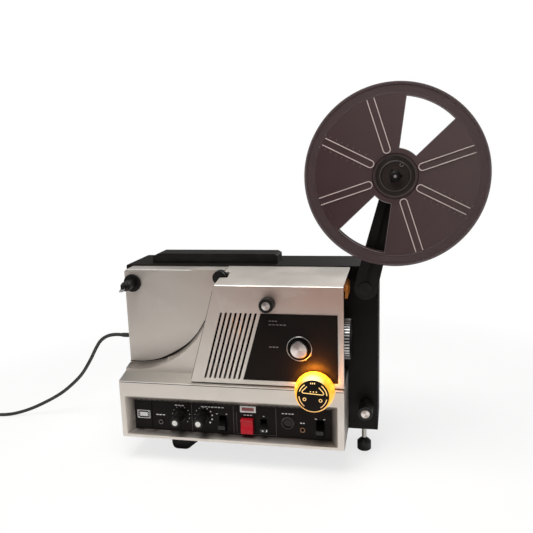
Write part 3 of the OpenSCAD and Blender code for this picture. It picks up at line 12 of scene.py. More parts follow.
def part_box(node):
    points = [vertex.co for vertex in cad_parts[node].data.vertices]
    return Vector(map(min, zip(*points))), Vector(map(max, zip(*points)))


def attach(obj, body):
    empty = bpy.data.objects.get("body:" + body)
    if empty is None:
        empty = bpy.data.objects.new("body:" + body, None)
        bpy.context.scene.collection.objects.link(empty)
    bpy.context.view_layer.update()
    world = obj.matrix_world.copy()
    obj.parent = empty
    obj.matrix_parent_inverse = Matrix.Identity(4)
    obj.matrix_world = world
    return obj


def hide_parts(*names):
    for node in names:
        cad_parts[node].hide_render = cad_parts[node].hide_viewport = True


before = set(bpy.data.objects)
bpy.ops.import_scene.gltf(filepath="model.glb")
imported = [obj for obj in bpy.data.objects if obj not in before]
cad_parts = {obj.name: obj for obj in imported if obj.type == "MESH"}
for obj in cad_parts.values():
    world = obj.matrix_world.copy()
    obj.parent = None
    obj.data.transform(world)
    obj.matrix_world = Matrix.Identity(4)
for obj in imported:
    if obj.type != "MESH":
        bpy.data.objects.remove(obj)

LOG = logging.getLogger("projector")
MM = 0.001
PRINT_SOFT = 0.04
NOISE_ROUGH = 0.55
CLOUDS = 14
CLOUD_RANGE = (0.3, 0.7)
EDGE_RANGE = (0.515, 0.58)
PATCHES = 60
PATCH_RANGE = (0.42, 0.62)
WEAR_MOST = 0.55
SMUDGES = 35
SMUDGE_RANGE = (0.25, 0.75)
DARK = (0.0, 0.0, 0.0)
WHITE = (1.0, 1.0, 1.0)
Colour = tuple[float, float, float]
Point = tuple[float, float, float]
Pair = tuple[float, float]
Row = tuple[float, float, float, int]
ZERO = Vector(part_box("base_housing")[0])


class Body(Enum):
    """Bodies of the frame that dressed pieces ride on."""

    CHASSIS = "chassis"
    REEL = "supply_reel"
    ARM = "supply_arm"
    TAKE_UP = "take_up"
    MODE = "mode_knob"
    FOCUS = "focus"
    FRAMING = "framing"
    VOLUME = "volume"
    SOUND = "sound"
    SOUND_LEVER = "sound_lever"
    SPEED_LEVER = "speed_lever"
    TOGGLE = "toggle"
    RECORD = "record_key"
    HANDLE = "carry_handle"
    CLAMP = "clamp"


class Slot(Enum):
    """Slots of the record that a dressed piece's finish belongs to."""

    SILVER = "silver_casing"
    BLACK = "black_casing"
    PLASTIC = "black_plastic"
    PANEL = "panel_black"
    METAL = "bright_metal"
    RUBBER = "rubber"
    CORD = "cord"
    KEY = "red_key"
    DISPLAY = "display"
    AMBER = "amber_ring"
    SMOKE = "smoke_reel"


class Coat(Enum):
    """Finishes of the projector, by their materials' names."""

    SILVER = "silver_paint"
    BLACK = "black_crackle"
    PLASTIC = "black_plastic"
    PANEL = "panel_black"
    HUB = "hub_brown"
    CERAMIC = "brown_ceramic"
    IRON = "core_iron"
    RUBBER = "black_rubber"
    PRINT = "white_print"
    FAINT = "faint_print"
    DIM = "dim_print"
    WHITE = "white_plastic"
    RED = "red_plastic"
    WINDOW = "red_window"
    ORANGE = "orange_plastic"
    BOARD = "circuit_board"
    FOCUS_CAP = "focus_knob_spun"
    FRAMING_CAP = "framing_knob_spun"
    CLAMP_CAP = "clamp_knob_spun"
    COPPER = "tinned_copper"
    STEEL = "plated_steel"
    SOCKET = "dark_nickel"
    BRIGHT = "turned_aluminium"
    MIRROR = "bowl_mirror"
    RIBBED = "ribbed_ring"
    FOOT = "foot_rod"
    GLASS = "lamp_glass"
    LENS = "lens_glass"
    SMOKE = "smoked_front"
    SMOKE_BACK = "smoked_back"
    AMBER = "amber_ring"
    MARK = "amber_mark"


def at(x: float, y: float, z: float) -> Vector:
    """Row position in metres of a machine place in millimetres from the base's lowest front left corner."""
    return ZERO + Vector((x, y, z)) * MM


def machine(place: Vector) -> Vector:
    """Machine place in millimetres of a row position in metres."""
    return (place - ZERO) / MM


def middle_of(node: str) -> Vector:
    """Middle of a solid's box, in row metres."""
    low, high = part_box(node)
    return (low + high) / 2


def face_middle(node: str) -> Vector:
    """Middle of the front of a solid's box, in row metres."""
    low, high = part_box(node)
    return Vector(((low[0] + high[0]) / 2, low[1], (low[2] + high[2]) / 2))


def scaled(colour: Colour, *factors: float) -> Colour:
    """A colour with its parts multiplied, by one factor or by three."""
    return tuple(min(1.0, c * f) for c, f in zip(colour, factors * (3 // len(factors))))


def arc(centre: Pair, radius: float, start: float, end: float, steps: int = 0) -> list[Pair]:
    """Points of an arc on a face.

    Args:
        centre: x and z of its middle.
        radius: in millimetres.
        start: first angle in degrees.
        end: last angle in degrees.
        steps: number of chords, or 0 for one each 6 degrees and at least 8.
    Returns:
        x and z of each point.
    """
    steps = steps or max(8, int(abs(end - start) / 6))
    turns = [math.radians(start + (end - start) * i / steps) for i in range(steps + 1)]
    return [(centre[0] + radius * math.cos(a), centre[1] + radius * math.sin(a)) for a in turns]


class Signal:
    """A shader socket whose arithmetic adds Math nodes."""

    def __init__(self, graph: "Graph", socket: bpy.types.NodeSocket) -> None:
        """Wraps one output socket of a graph."""
        self.graph = graph
        self.socket = socket

    def _math(self, operation: str, first: object, second: object) -> "Signal":
        """Adds a Math node on two values.

        Args:
            operation: name of the Math operation.
            first: number or signal.
            second: number or signal.
        Returns:
            The node's value.
        """
        node = self.graph.node("ShaderNodeMath", {"operation": operation}, {0: first, 1: second})
        return Signal(self.graph, node.outputs[0])

    def __add__(self, other: object) -> "Signal":
        """Sum."""
        return self._math("ADD", self, other)

    __radd__ = __add__

    def __mul__(self, other: object) -> "Signal":
        """Product."""
        return self._math("MULTIPLY", self, other)

    __rmul__ = __mul__

    def __sub__(self, other: object) -> "Signal":
        """Difference."""
        return self._math("SUBTRACT", self, other)

    def __rsub__(self, other: object) -> "Signal":
        """Difference from a number."""
        return self._math("SUBTRACT", other, self)

    def __pow__(self, other: object) -> "Signal":
        """Power."""
        return self._math("POWER", self, other)

    def sine(self) -> "Signal":
        """Sine of an angle in radians."""
        return self._math("SINE", self, 0.0)

    def angle(self, across: object) -> "Signal":
        """Angle whose rise is this signal and whose run is another."""
        return self._math("ARCTAN2", self, across)

    def larger(self, other: object) -> "Signal":
        """The larger of two values."""
        return self._math("MAXIMUM", self, other)


class Graph:
    """Node graph of one material, with its Principled shader, or of a world."""

    def __init__(self, name: str, world: bool = False) -> None:
        """Starts a fresh material or world.

        Args:
            name: what it is called.
            world: whether it is a world.
        """
        self.material = (bpy.data.worlds if world else bpy.data.materials).new(name)
        self.material.use_nodes = True
        self.tree = self.material.node_tree
        self.shader = self.tree.nodes["Background" if world else "Principled BSDF"]
        self.output = self.tree.nodes["World Output" if world else "Material Output"]

    def node(self, kind: str, settings: dict, inputs: dict) -> bpy.types.Node:
        """Adds a node.

        Args:
            kind: Blender's node type.
            settings: properties set first; "stops" fills a colour ramp.
            inputs: values or signals by socket name or number.
        Returns:
            The new node.
        """
        made = self.tree.nodes.new(kind)
        for key, value in settings.items():
            if key == "stops":
                self._fill_ramp(made.color_ramp, value)
            else:
                setattr(made, key, value)
        for key, value in inputs.items():
            self._feed(made.inputs[key], value)
        return made

    def _fill_ramp(self, ramp: bpy.types.ColorRamp, stops: list) -> None:
        """Sets a ramp's stops.

        Args:
            ramp: the ramp to fill.
            stops: position and colour of each stop.
        """
        while len(ramp.elements) < len(stops):
            ramp.elements.new(0.5)
        for element, (place, colour) in zip(ramp.elements, stops):
            element.position = place
            element.color = (*colour, 1.0)

    def _feed(self, socket: bpy.types.NodeSocket, value: object) -> None:
        """Links a signal to a socket or writes a plain value there.

        Args:
            socket: the input.
            value: signal, number, colour or vector.
        """
        if isinstance(value, Signal):
            self.tree.links.new(value.socket, socket)
        elif isinstance(value, tuple) and len(value) == 3 and len(socket.default_value) == 4:
            socket.default_value = (*value, 1.0)
        else:
            socket.default_value = value

    def out(self, kind: str, name: str | int = 0, **inputs: object) -> Signal:
        """One output of a new node."""
        return Signal(self, self.node(kind, {}, inputs).outputs[name])

    def part(self, vector: Signal, letter: str) -> Signal:
        """One part of a vector."""
        return Signal(self, self.node("ShaderNodeSeparateXYZ", {}, {0: vector}).outputs[letter])

    def place(self, scale: Point = (1, 1, 1)) -> Signal:
        """Object coordinates, stretched by a factor on each axis."""
        coords = self.out("ShaderNodeTexCoord", "Object")
        return Signal(self, self.node("ShaderNodeMapping", {}, {"Vector": coords, "Scale": scale}).outputs[0])

    def axis(self, letter: str) -> Signal:
        """One object coordinate, in metres."""
        return self.part(self.place(), letter)

    def offset(self, letter: str, centre: Point) -> Signal:
        """Distance from a centre along one axis, in metres."""
        return self.axis(letter) - centre["XYZ".index(letter)]

    def reach(self, letters: str, centre: Point) -> Signal:
        """Distance from a centre across two axes, in metres."""
        first, second = (self.offset(letter, centre) ** 2 for letter in letters)
        return (first + second) ** 0.5

    def normal(self, letter: str) -> Signal:
        """One part of the direction that the surface faces."""
        return self.part(self.out("ShaderNodeNewGeometry", "Normal"), letter)

    def outward(self, letters: str, centre: Point) -> Signal:
        """How far a surface faces away from an axis, times its distance from that axis."""
        first, second = (self.normal(letter) * self.offset(letter, centre) for letter in letters)
        return first + second

    def noise(self, scale: float, detail: float = 3, stretch: Point = (1, 1, 1)) -> Signal:
        """Smooth noise from 0 to 1, with scale in cells for each metre."""
        made = self.node("ShaderNodeTexNoise", {}, {
            "Vector": self.place(stretch), "Scale": scale, "Detail": detail, "Roughness": NOISE_ROUGH})
        return Signal(self, made.outputs["Fac"])

    def ramp(self, value: Signal, stops: list) -> Signal:
        """Colour looked up from a value."""
        return Signal(self, self.node("ShaderNodeValToRGB", {"stops": stops}, {0: value}).outputs[0])

    def level(self, value: Signal, low: float, high: float, to: Pair = (0, 1)) -> Signal:
        """Maps a range of values to another, clamped."""
        ends = {0: value, 1: low, 2: high, 3: to[0], 4: to[1]}
        return Signal(self, self.node("ShaderNodeMapRange", {"clamp": True}, ends).outputs[0])

    def band(self, value: Signal, low: float, high: float, edge: float) -> Signal:
        """One between two values, and zero outside them past a soft edge."""
        return self.level(value, low, low + edge) * (1 - self.level(value, high, high + edge))

    def mix(self, share: object, first: object, second: object) -> Signal:
        """Blend of two colours."""
        made = self.node("ShaderNodeMix", {"data_type": "RGBA"}, {0: share, 6: first, 7: second})
        return Signal(self, made.outputs[2])

    def blend(self, share: Signal, first: Signal, second: Signal) -> None:
        """Sends a mix of two shaders to the graph's output."""
        made = self.node("ShaderNodeMixShader", {}, {0: share, 1: first, 2: second})
        self.tree.links.new(made.outputs[0], self.output.inputs["Surface"])

    def bump(self, height: Signal, depth: float, strength: float) -> Signal:
        """Normal from a height, with the depth in metres."""
        made = self.node("ShaderNodeBump", {}, {"Height": height, "Distance": depth, "Strength": strength})
        return Signal(self, made.outputs[0])

    def grained(self, scale: float, depth: float, strength: float = 0.6) -> Signal:
        """Normal of a fine grain, with scale in cells for each metre."""
        return self.bump(self.noise(scale, 2), depth, strength)

    def mottled(self, shade: Colour, light: Colour) -> Signal:
        """Colour that drifts between two shades in soft clouds."""
        return self.mix(self.level(self.noise(CLOUDS, 4), *CLOUD_RANGE), shade, light)

    def worn(self) -> Signal:
        """Share of rubbed paint, in patches along outer edges."""
        edge = self.level(self.out("ShaderNodeNewGeometry", "Pointiness"), *EDGE_RANGE)
        return edge * self.level(self.noise(PATCHES, 4), *PATCH_RANGE) * WEAR_MOST

    def smudged(self, low: float, high: float) -> Signal:
        """Roughness that changes between two values in smudges."""
        return self.level(self.noise(SMUDGES, 5), *SMUDGE_RANGE, (low, high))

    def dress(self, **values: object) -> bpy.types.Material:
        """Feeds the Principled shader; underscores stand for spaces.

        Args:
            values: socket values or signals.
        Returns:
            The finished material.
        """
        for key, value in values.items():
            self._feed(self.shader.inputs[key.replace("_", " ")], value)
        return self.material


@dataclass(frozen=True)
class PaintFinish:
    """Sprayed or moulded surface with mottling, fine grain and rubbed edges."""

    coat: Coat
    colour: Colour
    rubbed: Colour
    rough: float = 0.45
    metallic: float = 0.0
    grain: float = 900
    grain_depth: float = 0.00004
    mottle: float = 0.06
    lacquer: float = 0.0
    shine: float = 0.5
    vary: float = 0.06

    def build(self) -> bpy.types.Material:
        """Makes the material.

        Returns:
            The finished material.
        """
        g = Graph(self.coat.value)
        base = g.mottled(scaled(self.colour, 1 - self.mottle), scaled(self.colour, 1 + self.mottle))
        return g.dress(
            Base_Color=g.mix(g.worn(), base, self.rubbed),
            Roughness=g.smudged(self.rough - self.vary, self.rough + self.vary),
            Metallic=self.metallic, Coat_Weight=self.lacquer, Specular_IOR_Level=self.shine,
            Normal=g.grained(self.grain, self.grain_depth))


@dataclass(frozen=True)
class BayShade:
    """Painted shade in the round reel bay: on its wall, thickest at the back, and low on its face."""

    centre: Point
    radii: Pair
    depths: Pair
    wall: float = 0.75
    wall_part: Pair = (0.6, 0.9)
    face: float = 0.3
    face_from: float = 0.72
    face_low: Pair = (0.55, 0.85)
    edge: float = 0.0002
    face_edge: float = 0.002

    def share(self, g: Graph) -> Signal:
        """Share of painted shade.

        Args:
            g: the material's graph.
        Returns:
            The share, from 0 to 1.
        """
        low, high = self.radii
        reach, deep = g.reach("XZ", self.centre), g.axis("Y")
        round_wall = g.level(g.outward("XZ", self.centre) * -1, *(low * part for part in self.wall_part))
        wall = round_wall * g.band(reach, low, high, self.edge) * g.level(deep, *self.depths) * self.wall
        corner = g.level(reach, low * self.face_from, low) * (1 - g.level(reach, low, low + self.edge))
        below = g.level(g.offset("Z", self.centre) * -1, *(low * part for part in self.face_low))
        back = g.level(deep, self.depths[1], self.depths[1] + self.face_edge)
        return wall + corner * below * back * self.face


@dataclass(frozen=True)
class RecessShade:
    """Painted shade on the control recess's flared walls, thickest at the panel."""

    low: Point
    high: Point
    most: float = 0.86
    growth: float = 0.6
    edge: float = 0.0005

    def share(self, g: Graph) -> Signal:
        """Share of painted shade.

        Args:
            g: the material's graph.
        Returns:
            The share, from 0 to 1.
        """
        share = g.level(g.axis("Y"), self.low[1], self.high[1]) ** self.growth * self.most
        for letter, low, high in zip("XZ", self.low[::2], self.high[::2]):
            share = share * g.band(g.axis(letter), low, high, self.edge)
        return share


@dataclass(frozen=True)
class SilverFinish:
    """Silver casing paint, with painted shade in two hollows and on the deck's upward faces, and a painted
    warm reflection at one corner.
    """

    coat: Coat
    bay: BayShade
    recess: RecessShade
    deck_top: float
    reflection_x: Pair
    reflection_z: Pair
    colour: Colour = (0.72, 0.675, 0.62)
    rubbed: Colour = (0.75, 0.71, 0.66)
    warm_reflection: Colour = (0.63, 0.45, 0.385)
    # Dark colour of the painted shade in the reel bay and the control recess.
    hollow_shade: Colour = (0.05, 0.035, 0.028)
    mottle: float = 0.965
    deck_shade: float = 0.45
    deck_edge: float = 0.002
    deck_facing: Pair = (0.85, 0.97)
    reflection_facing: Pair = (0.3, 0.7)
    metallic: float = 0.8
    rough: Pair = (0.37, 0.49)
    grain: Pair = (1500, 0.00004)

    def build(self) -> bpy.types.Material:
        """Makes the material.

        Returns:
            The finished material.
        """
        g = Graph(self.coat.value)
        upward = g.normal("Z")
        # Painted warm reflection: faces that do not face up, towards the cover's corner, take a pinkish tint.
        corner = g.level(g.axis("X"), *self.reflection_x) * g.level(g.axis("Z"), *self.reflection_z)
        warm = g.mix(corner * (1 - g.level(upward, *self.reflection_facing)),
                     g.mottled(scaled(self.colour, self.mottle), self.colour), self.warm_reflection)
        # Painted shade: upward faces below the top of the base are darkened towards black.
        deck = 1 - g.level(g.axis("Z"), self.deck_top, self.deck_top + self.deck_edge)
        deck_shaded = g.mix(g.level(upward, *self.deck_facing) * deck * self.deck_shade, warm, DARK)
        # Painted shade in the reel bay and the control recess, mixed towards a dark brown.
        hollow_shaded = g.mix(self.bay.share(g) + self.recess.share(g), deck_shaded, self.hollow_shade)
        return g.dress(Base_Color=g.mix(g.worn(), hollow_shaded, self.rubbed), Roughness=g.smudged(*self.rough),
                       Metallic=self.metallic, Normal=g.grained(*self.grain))


@dataclass(frozen=True)
class SpunFinish:
    """Aluminium cap turned on a lathe, with fine rings and two paler sectors of painted reflection."""

    coat: Coat
    centre: Point
    colour: Colour = (0.86, 0.81, 0.78)
    shade: Colour = (0.50, 0.42, 0.40)
    phase: float = 0.6
    highlight_sectors: Pair = (-0.8, 0.9)
    rings: float = 9000
    groove: Pair = (0.00002, 0.4)
    metallic: float = 0.9
    rough: Pair = (0.3, 0.42)

    def build(self) -> bpy.types.Material:
        """Makes the material.

        Returns:
            The finished material.
        """
        g = Graph(self.coat.value)
        turn = g.offset("Z", self.centre).angle(g.offset("X", self.centre))
        # Painted reflection: two opposite sectors turn paler, in place of the fan of light on a turned cap.
        highlight_sectors = g.level((turn * 2 + self.phase).sine(), *self.highlight_sectors)
        rings = g.level((g.reach("XZ", self.centre) * self.rings).sine(), -1, 1)
        return g.dress(Base_Color=g.mix(highlight_sectors, self.shade, self.colour), Metallic=self.metallic,
                       Roughness=g.level(rings, 0.0, 1.0, self.rough), Normal=g.bump(rings, *self.groove))


@dataclass(frozen=True)
class TurnedFinish:
    """Bright metal with turning or rolling lines."""

    coat: Coat
    colour: Colour
    rough: float = 0.28
    lines: Point = (40, 40, 900)
    dull: float = 0.82
    vary: float = 0.16
    streaks: float = 6
    streak_range: Pair = (0.2, 0.8)
    groove: Pair = (0.00002, 0.35)

    def build(self) -> bpy.types.Material:
        """Makes the material.

        Returns:
            The finished material.
        """
        g = Graph(self.coat.value)
        streak = g.noise(self.streaks, 4, self.lines)
        return g.dress(
            Base_Color=g.mix(streak, scaled(self.colour, self.dull), self.colour), Metallic=1.0,
            Roughness=g.level(streak, *self.streak_range, (self.rough, self.rough + self.vary)),
            Normal=g.bump(streak, *self.groove))


@dataclass(frozen=True)
class BowlFinish:
    """Reflector bowl about an axis along x: mirror inside, and black outside as painted shade that keeps the
    lamp house dark.
    """

    coat: Coat
    centre: Point
    outside: Colour = (0.006, 0.006, 0.006)
    mirror: Colour = (0.75, 0.74, 0.76)
    edge: float = 0.0004
    rough: Pair = (0.75, 0.12)
    smears: float = 90
    smear: float = 0.1
    shine: float = 0.1

    def build(self) -> bpy.types.Material:
        """Makes the material.

        Returns:
            The finished material.
        """
        g = Graph(self.coat.value)
        # The outside is near black: painted shade, so the lamp house stays dark behind the cover's slots.
        inside = 1 - g.level(g.outward("YZ", self.centre), -self.edge, 0.0)
        return g.dress(
            Base_Color=g.mix(inside, self.outside, self.mirror), Metallic=inside,
            Roughness=g.level(inside + g.noise(self.smears) * self.smear, 0.0, 1 + self.smear, self.rough),
            Specular_IOR_Level=self.shine)


@dataclass(frozen=True)
class SmokeFinish:
    """Clear smoked plastic of the reel, with paler moulded ribs and painted light, lighter and warmer towards
    the upper right.
    """

    coat: Coat
    rib: Colour
    hub: Point
    face_y: float
    out: float
    colour: Colour = (0.062, 0.030, 0.033)
    warm: Colour = (1.8, 2.6, 2.35)
    band: Colour = (1.45, 2.05, 1.95)
    slant: Pair = (5.0, 2.0)
    slant_light: Pair = (-0.3, 0.65)
    slant_clouds: float = 7
    slant_noise: float = 0.4
    alpha: float = 0.80
    rib_reach: float = 0.092
    rib_edge: float = 0.002
    rib_step: Pair = (0.0002, 0.0003)
    rim_w: float = 0.0015
    rim_share: float = 0.7
    scuffs: float = 9
    scuff_lines: Point = (1, 1, 9)
    scuff_range: Pair = (0.52, 0.75)
    rough: Pair = (0.32, 0.44)
    waves: float = 25
    wave: Pair = (0.00002, 0.1)

    def build(self) -> bpy.types.Material:
        """Makes the material.

        Returns:
            The finished material.
        """
        g = Graph(self.coat.value)
        # Painted light: the tint grows lighter and warmer across the flange towards its upper right.
        across = g.offset("X", self.hub) * self.slant[0] + g.offset("Z", self.hub) * self.slant[1]
        slant_light = g.level(across + g.noise(self.slant_clouds, 1) * self.slant_noise, *self.slant_light)
        away = g.reach("XZ", self.hub)
        inside = 1 - g.level(away, self.rib_reach, self.rib_reach + self.rib_edge)
        face = self.face_y * self.out
        raised = g.level(g.axis("Y") * self.out, *(face + step for step in self.rib_step)) * inside
        rim = g.level(away, self.rib_reach - self.rim_w, self.rib_reach)
        slant_lit = g.mix(slant_light, self.colour, scaled(self.colour, *self.warm))
        tint = g.mix(rim * self.rim_share, slant_lit, scaled(self.colour, *self.band))
        scuff = g.noise(self.scuffs, 2, self.scuff_lines)
        return g.dress(
            Base_Color=g.mix(raised, tint, self.rib), Roughness=g.level(scuff, *self.scuff_range, self.rough),
            Alpha=g.level(raised, 0.0, 1.0, (self.alpha, 1.0)),
            Normal=g.bump(g.noise(self.waves, 1), *self.wave))


@dataclass(frozen=True)
class TwoToneFinish:
    """Two paints on one turned piece, changing at a distance along or from its axis."""

    coat: Coat
    first: Colour
    second: Colour
    metal: float
    start: float
    centre: Point | None = None
    edge: float = 0.0002
    rough: Pair = (0.3, 0.45)
    patches: float = 120
    patch_range: Pair = (0.2, 0.8)
    grain: Point = (1100, 0.00002, 0.4)

    def build(self) -> bpy.types.Material:
        """Makes the material, changing with the height, or about an x axis through its centre.

        Returns:
            The finished material.
        """
        g = Graph(self.coat.value)
        reach = g.reach("YZ", self.centre) if self.centre else g.axis("Z")
        share = g.level(reach, self.start, self.start + self.edge)
        return g.dress(
            Base_Color=g.mix(share, self.first, self.second), Metallic=share * self.metal,
            Roughness=g.level(g.noise(self.patches, 4), *self.patch_range, self.rough),
            Normal=g.grained(*self.grain))


@dataclass(frozen=True)
class GlassFinish:
    """Clear or tinted glass."""

    coat: Coat
    colour: Colour
    alpha: float
    dust: float = 300
    dust_range: Pair = (0.5, 0.8)
    rough: Pair = (0.04, 0.14)
    lacquer: float = 0.6

    def build(self) -> bpy.types.Material:
        """Makes the material.

        Returns:
            The finished material.
        """
        g = Graph(self.coat.value)
        return g.dress(Base_Color=self.colour, Alpha=self.alpha, Coat_Weight=self.lacquer,
                       Roughness=g.level(g.noise(self.dust), *self.dust_range, self.rough))


@dataclass(frozen=True)
class GlowFinish:
    """Amber plastic lit from inside, whitest near the bulb and dullest far from it."""

    coat: Coat
    base: Colour
    bright: Colour
    middle: Colour
    far: Colour
    strength: float
    bulb: Point
    reach: float
    flatten: float = 0.4
    steps: tuple[float, ...] = (0.05, 0.21, 0.62, 0.95)
    clouds: float = 70
    uneven: float = 0.08
    rough: Pair = (0.24, 0.3)
    grain: Point = (500, 0.00002, 0.3)

    def build(self) -> bpy.types.Material:
        """Makes the material.

        Returns:
            The finished material.
        """
        g = Graph(self.coat.value)
        across, along, above = (g.offset(letter, self.bulb) for letter in "XYZ")
        away = (across ** 2 * self.flatten + along ** 2 + above ** 2) ** 0.5
        share = g.level(away, 0.0, self.reach) + g.noise(self.clouds, 2) * self.uneven - self.uneven / 2
        stops = list(zip(self.steps, (self.bright, self.middle, self.middle, self.far)))
        return g.dress(Base_Color=self.base, Roughness=g.level(share, 0.0, 1.0, self.rough),
                       Emission_Color=g.ramp(share, stops), Emission_Strength=self.strength,
                       Normal=g.grained(*self.grain))


@dataclass(frozen=True)
class RubberFinish:
    """Soft black rubber of the lead and its fittings."""

    coat: Coat
    colour: Colour = (0.012, 0.012, 0.012)
    deck_shaded: Colour = (0.032, 0.032, 0.032)
    dust: float = 40
    dust_range: Pair = (0.45, 0.75)
    patches: float = 90
    patch_range: Pair = (0.2, 0.8)
    rough: Pair = (0.42, 0.6)
    grain: Point = (1300, 0.00003, 0.5)

    def build(self) -> bpy.types.Material:
        """Makes the material.

        Returns:
            The finished material.
        """
        g = Graph(self.coat.value)
        dust = g.level(g.noise(self.dust, 5), *self.dust_range)
        return g.dress(Base_Color=g.mix(dust, self.colour, self.deck_shaded),
                       Roughness=g.level(g.noise(self.patches), *self.patch_range, self.rough),
                       Normal=g.grained(*self.grain))


class Finish(Protocol):
    """Anything that makes the material of a coat."""

    coat: Coat

    def build(self) -> bpy.types.Material:
        """Makes the material."""


class Paints:
    """All finishes of the projector, built once and looked up by their coat."""

    def __init__(self) -> None:
        """Builds each material."""
        groups = [self.silver()], self.blacks(), self.colours(), self.metals(), self.clears()
        self.made = {finish.coat: finish.build() for group in groups for finish in group}

    def __getitem__(self, coat: Coat) -> bpy.types.Material:
        """The material of a coat."""
        return self.made[coat]

    def silver(self) -> SilverFinish:
        """The casing's silver, with the painted shade of its hollows and the painted warm reflection at its
        corner placed from the frame.

        Returns:
            The finish.
        """
        cover_low, cover_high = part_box("film_cover")
        base_low, base_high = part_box("base_housing")
        bay_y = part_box("take_up_panel")[0][1]
        bay = BayShade(centre=tuple(middle_of("take_up_spindle")), radii=(0.1064, 0.1114),
                      depths=(bay_y - 0.005, bay_y + 0.013))
        recess = RecessShade(low=tuple(base_low + Vector((0.0015, 0.0002, 0.0015))),
                            high=(base_high[0] - 0.002, base_low[1] + 0.0095, base_low[2] + 0.053))
        return SilverFinish(Coat.SILVER, bay, recess, deck_top=base_high[2] + 0.003,
                            reflection_x=(cover_low[0] - 0.03, cover_high[0] - 0.03),
                            reflection_z=(cover_low[2] + 0.04, cover_high[2] - 0.03))

    def blacks(self) -> list[Finish]:
        """Black and dark paints, plastics and rubber.

        Returns:
            The finishes.
        """
        return [
            PaintFinish(Coat.BLACK, (0.0055, 0.0040, 0.0034), (0.011, 0.0085, 0.0075), rough=0.5, grain=700,
                        grain_depth=0.0001, mottle=0.04, shine=0.2, vary=0.02),
            PaintFinish(Coat.PLASTIC, (0.005, 0.0045, 0.0042), (0.025, 0.023, 0.022), rough=0.36, grain=1100,
                        grain_depth=0.00003, mottle=0.1, shine=0.36),
            PaintFinish(Coat.PANEL, (0.0076, 0.0054, 0.0046), (0.009, 0.0068, 0.006), rough=0.42, grain=1600,
                        grain_depth=0.00002, mottle=0.04, shine=0.1, vary=0.012),
            PaintFinish(Coat.HUB, (0.026, 0.019, 0.0165), (0.05, 0.04, 0.036), rough=0.4, grain=1300,
                        grain_depth=0.00002, mottle=0.12, shine=0.3),
            # Painted shade: the lamp socket is near black, so it stays dark inside the lamp house seen
            # through the slots.
            PaintFinish(Coat.CERAMIC, (0.030, 0.020, 0.014), (0.06, 0.045, 0.035), rough=0.5),
            PaintFinish(Coat.IRON, (0.09, 0.09, 0.09), (0.2, 0.2, 0.2), rough=0.5, metallic=0.6, grain=400),
            RubberFinish(Coat.RUBBER)]

    def colours(self) -> list[Finish]:
        """White and coloured plastics and prints.

        Returns:
            The finishes.
        """
        inks = ((Coat.PRINT, (0.80, 0.79, 0.78), (0.7, 0.7, 0.7), 0.55),
                (Coat.FAINT, (0.17, 0.15, 0.145), (0.2, 0.2, 0.2), 0.5),
                (Coat.DIM, (0.085, 0.07, 0.066), (0.1, 0.09, 0.09), 0.5))
        prints = [PaintFinish(*ink, grain=2400, grain_depth=0.00001, mottle=0.12) for ink in inks]
        return prints + [
            PaintFinish(Coat.WHITE, (0.78, 0.76, 0.73), (0.85, 0.85, 0.85), rough=0.4, grain=1200),
            PaintFinish(Coat.RED, (0.44, 0.0045, 0.015), (0.5, 0.03, 0.04), rough=0.4, grain_depth=0.00002,
                        mottle=0.08, shine=0.25),
            PaintFinish(Coat.WINDOW, (0.22, 0.012, 0.02), (0.3, 0.02, 0.02), rough=0.18, grain=600,
                        grain_depth=0.00001, mottle=0.25, lacquer=0.4),
            PaintFinish(Coat.ORANGE, (0.75, 0.2, 0.02), (0.8, 0.4, 0.1), rough=0.35),
            PaintFinish(Coat.BOARD, (0.03, 0.14, 0.05), (0.2, 0.3, 0.1), rough=0.4, grain=300)]

    def metals(self) -> list[Finish]:
        """Bare and part-painted metals.

        Returns:
            The finishes.
        """
        lens_low, lens_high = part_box("lens_barrel")
        lens_r = (lens_high[2] - lens_low[2]) / 2
        caps = {Coat.FOCUS_CAP: "focus_knob", Coat.FRAMING_CAP: "framing_knob", Coat.CLAMP_CAP: "clamp_knob"}
        return [SpunFinish(coat, tuple(middle_of(node))) for coat, node in caps.items()] + [
            TurnedFinish(Coat.COPPER, (0.62, 0.34, 0.20), rough=0.3),
            TurnedFinish(Coat.STEEL, (0.55, 0.55, 0.56)),
            TurnedFinish(Coat.SOCKET, (0.038, 0.035, 0.034)),
            TurnedFinish(Coat.BRIGHT, (0.80, 0.78, 0.76), rough=0.25, lines=(300, 30, 300)),
            BowlFinish(Coat.MIRROR, tuple(middle_of("lamp_reflector"))),
            TwoToneFinish(Coat.RIBBED, (0.01, 0.01, 0.01), (0.6, 0.6, 0.6), metal=0.8, start=lens_r - 0.0005,
                          centre=tuple(middle_of("lens_barrel"))),
            TwoToneFinish(Coat.FOOT, (0.012, 0.012, 0.012), (0.6, 0.58, 0.55), metal=1.0, start=0.0165)]

    def clears(self) -> list[Finish]:
        """Glass, smoked plastic and lit amber.

        Returns:
            The finishes.
        """
        ring_low, ring_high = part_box("mode_ring")
        bulb = ((ring_low[0] + ring_high[0]) / 2, ring_low[1] + 0.001, ring_high[2] - 0.0055)
        hub = tuple(middle_of("reel_front_flange"))
        front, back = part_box("reel_front_flange")[0][1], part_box("reel_back_flange")[1][1]
        rib_t = 0.0006
        return [
            GlassFinish(Coat.GLASS, (0.9, 0.9, 0.88), alpha=0.25),
            GlassFinish(Coat.LENS, (0.05, 0.07, 0.10), alpha=0.55),
            SmokeFinish(Coat.SMOKE, (0.62, 0.53, 0.50), hub, face_y=front + rib_t, out=-1),
            SmokeFinish(Coat.SMOKE_BACK, (0.5, 0.42, 0.40), hub, face_y=back - rib_t, out=1),
            GlowFinish(Coat.AMBER, base=(0.34, 0.15, 0.025), bright=(1.0, 0.86, 0.48),
                       middle=(0.62, 0.31, 0.012), far=(0.64, 0.38, 0.16), strength=1.6, bulb=bulb,
                       reach=0.044),
            GlowFinish(Coat.MARK, base=(0.8, 0.5, 0.2), bright=(1.0, 0.80, 0.34),
                       middle=(0.80, 0.52, 0.16), far=(0.24, 0.115, 0.085), strength=0.95, bulb=bulb,
                       reach=0.034)]


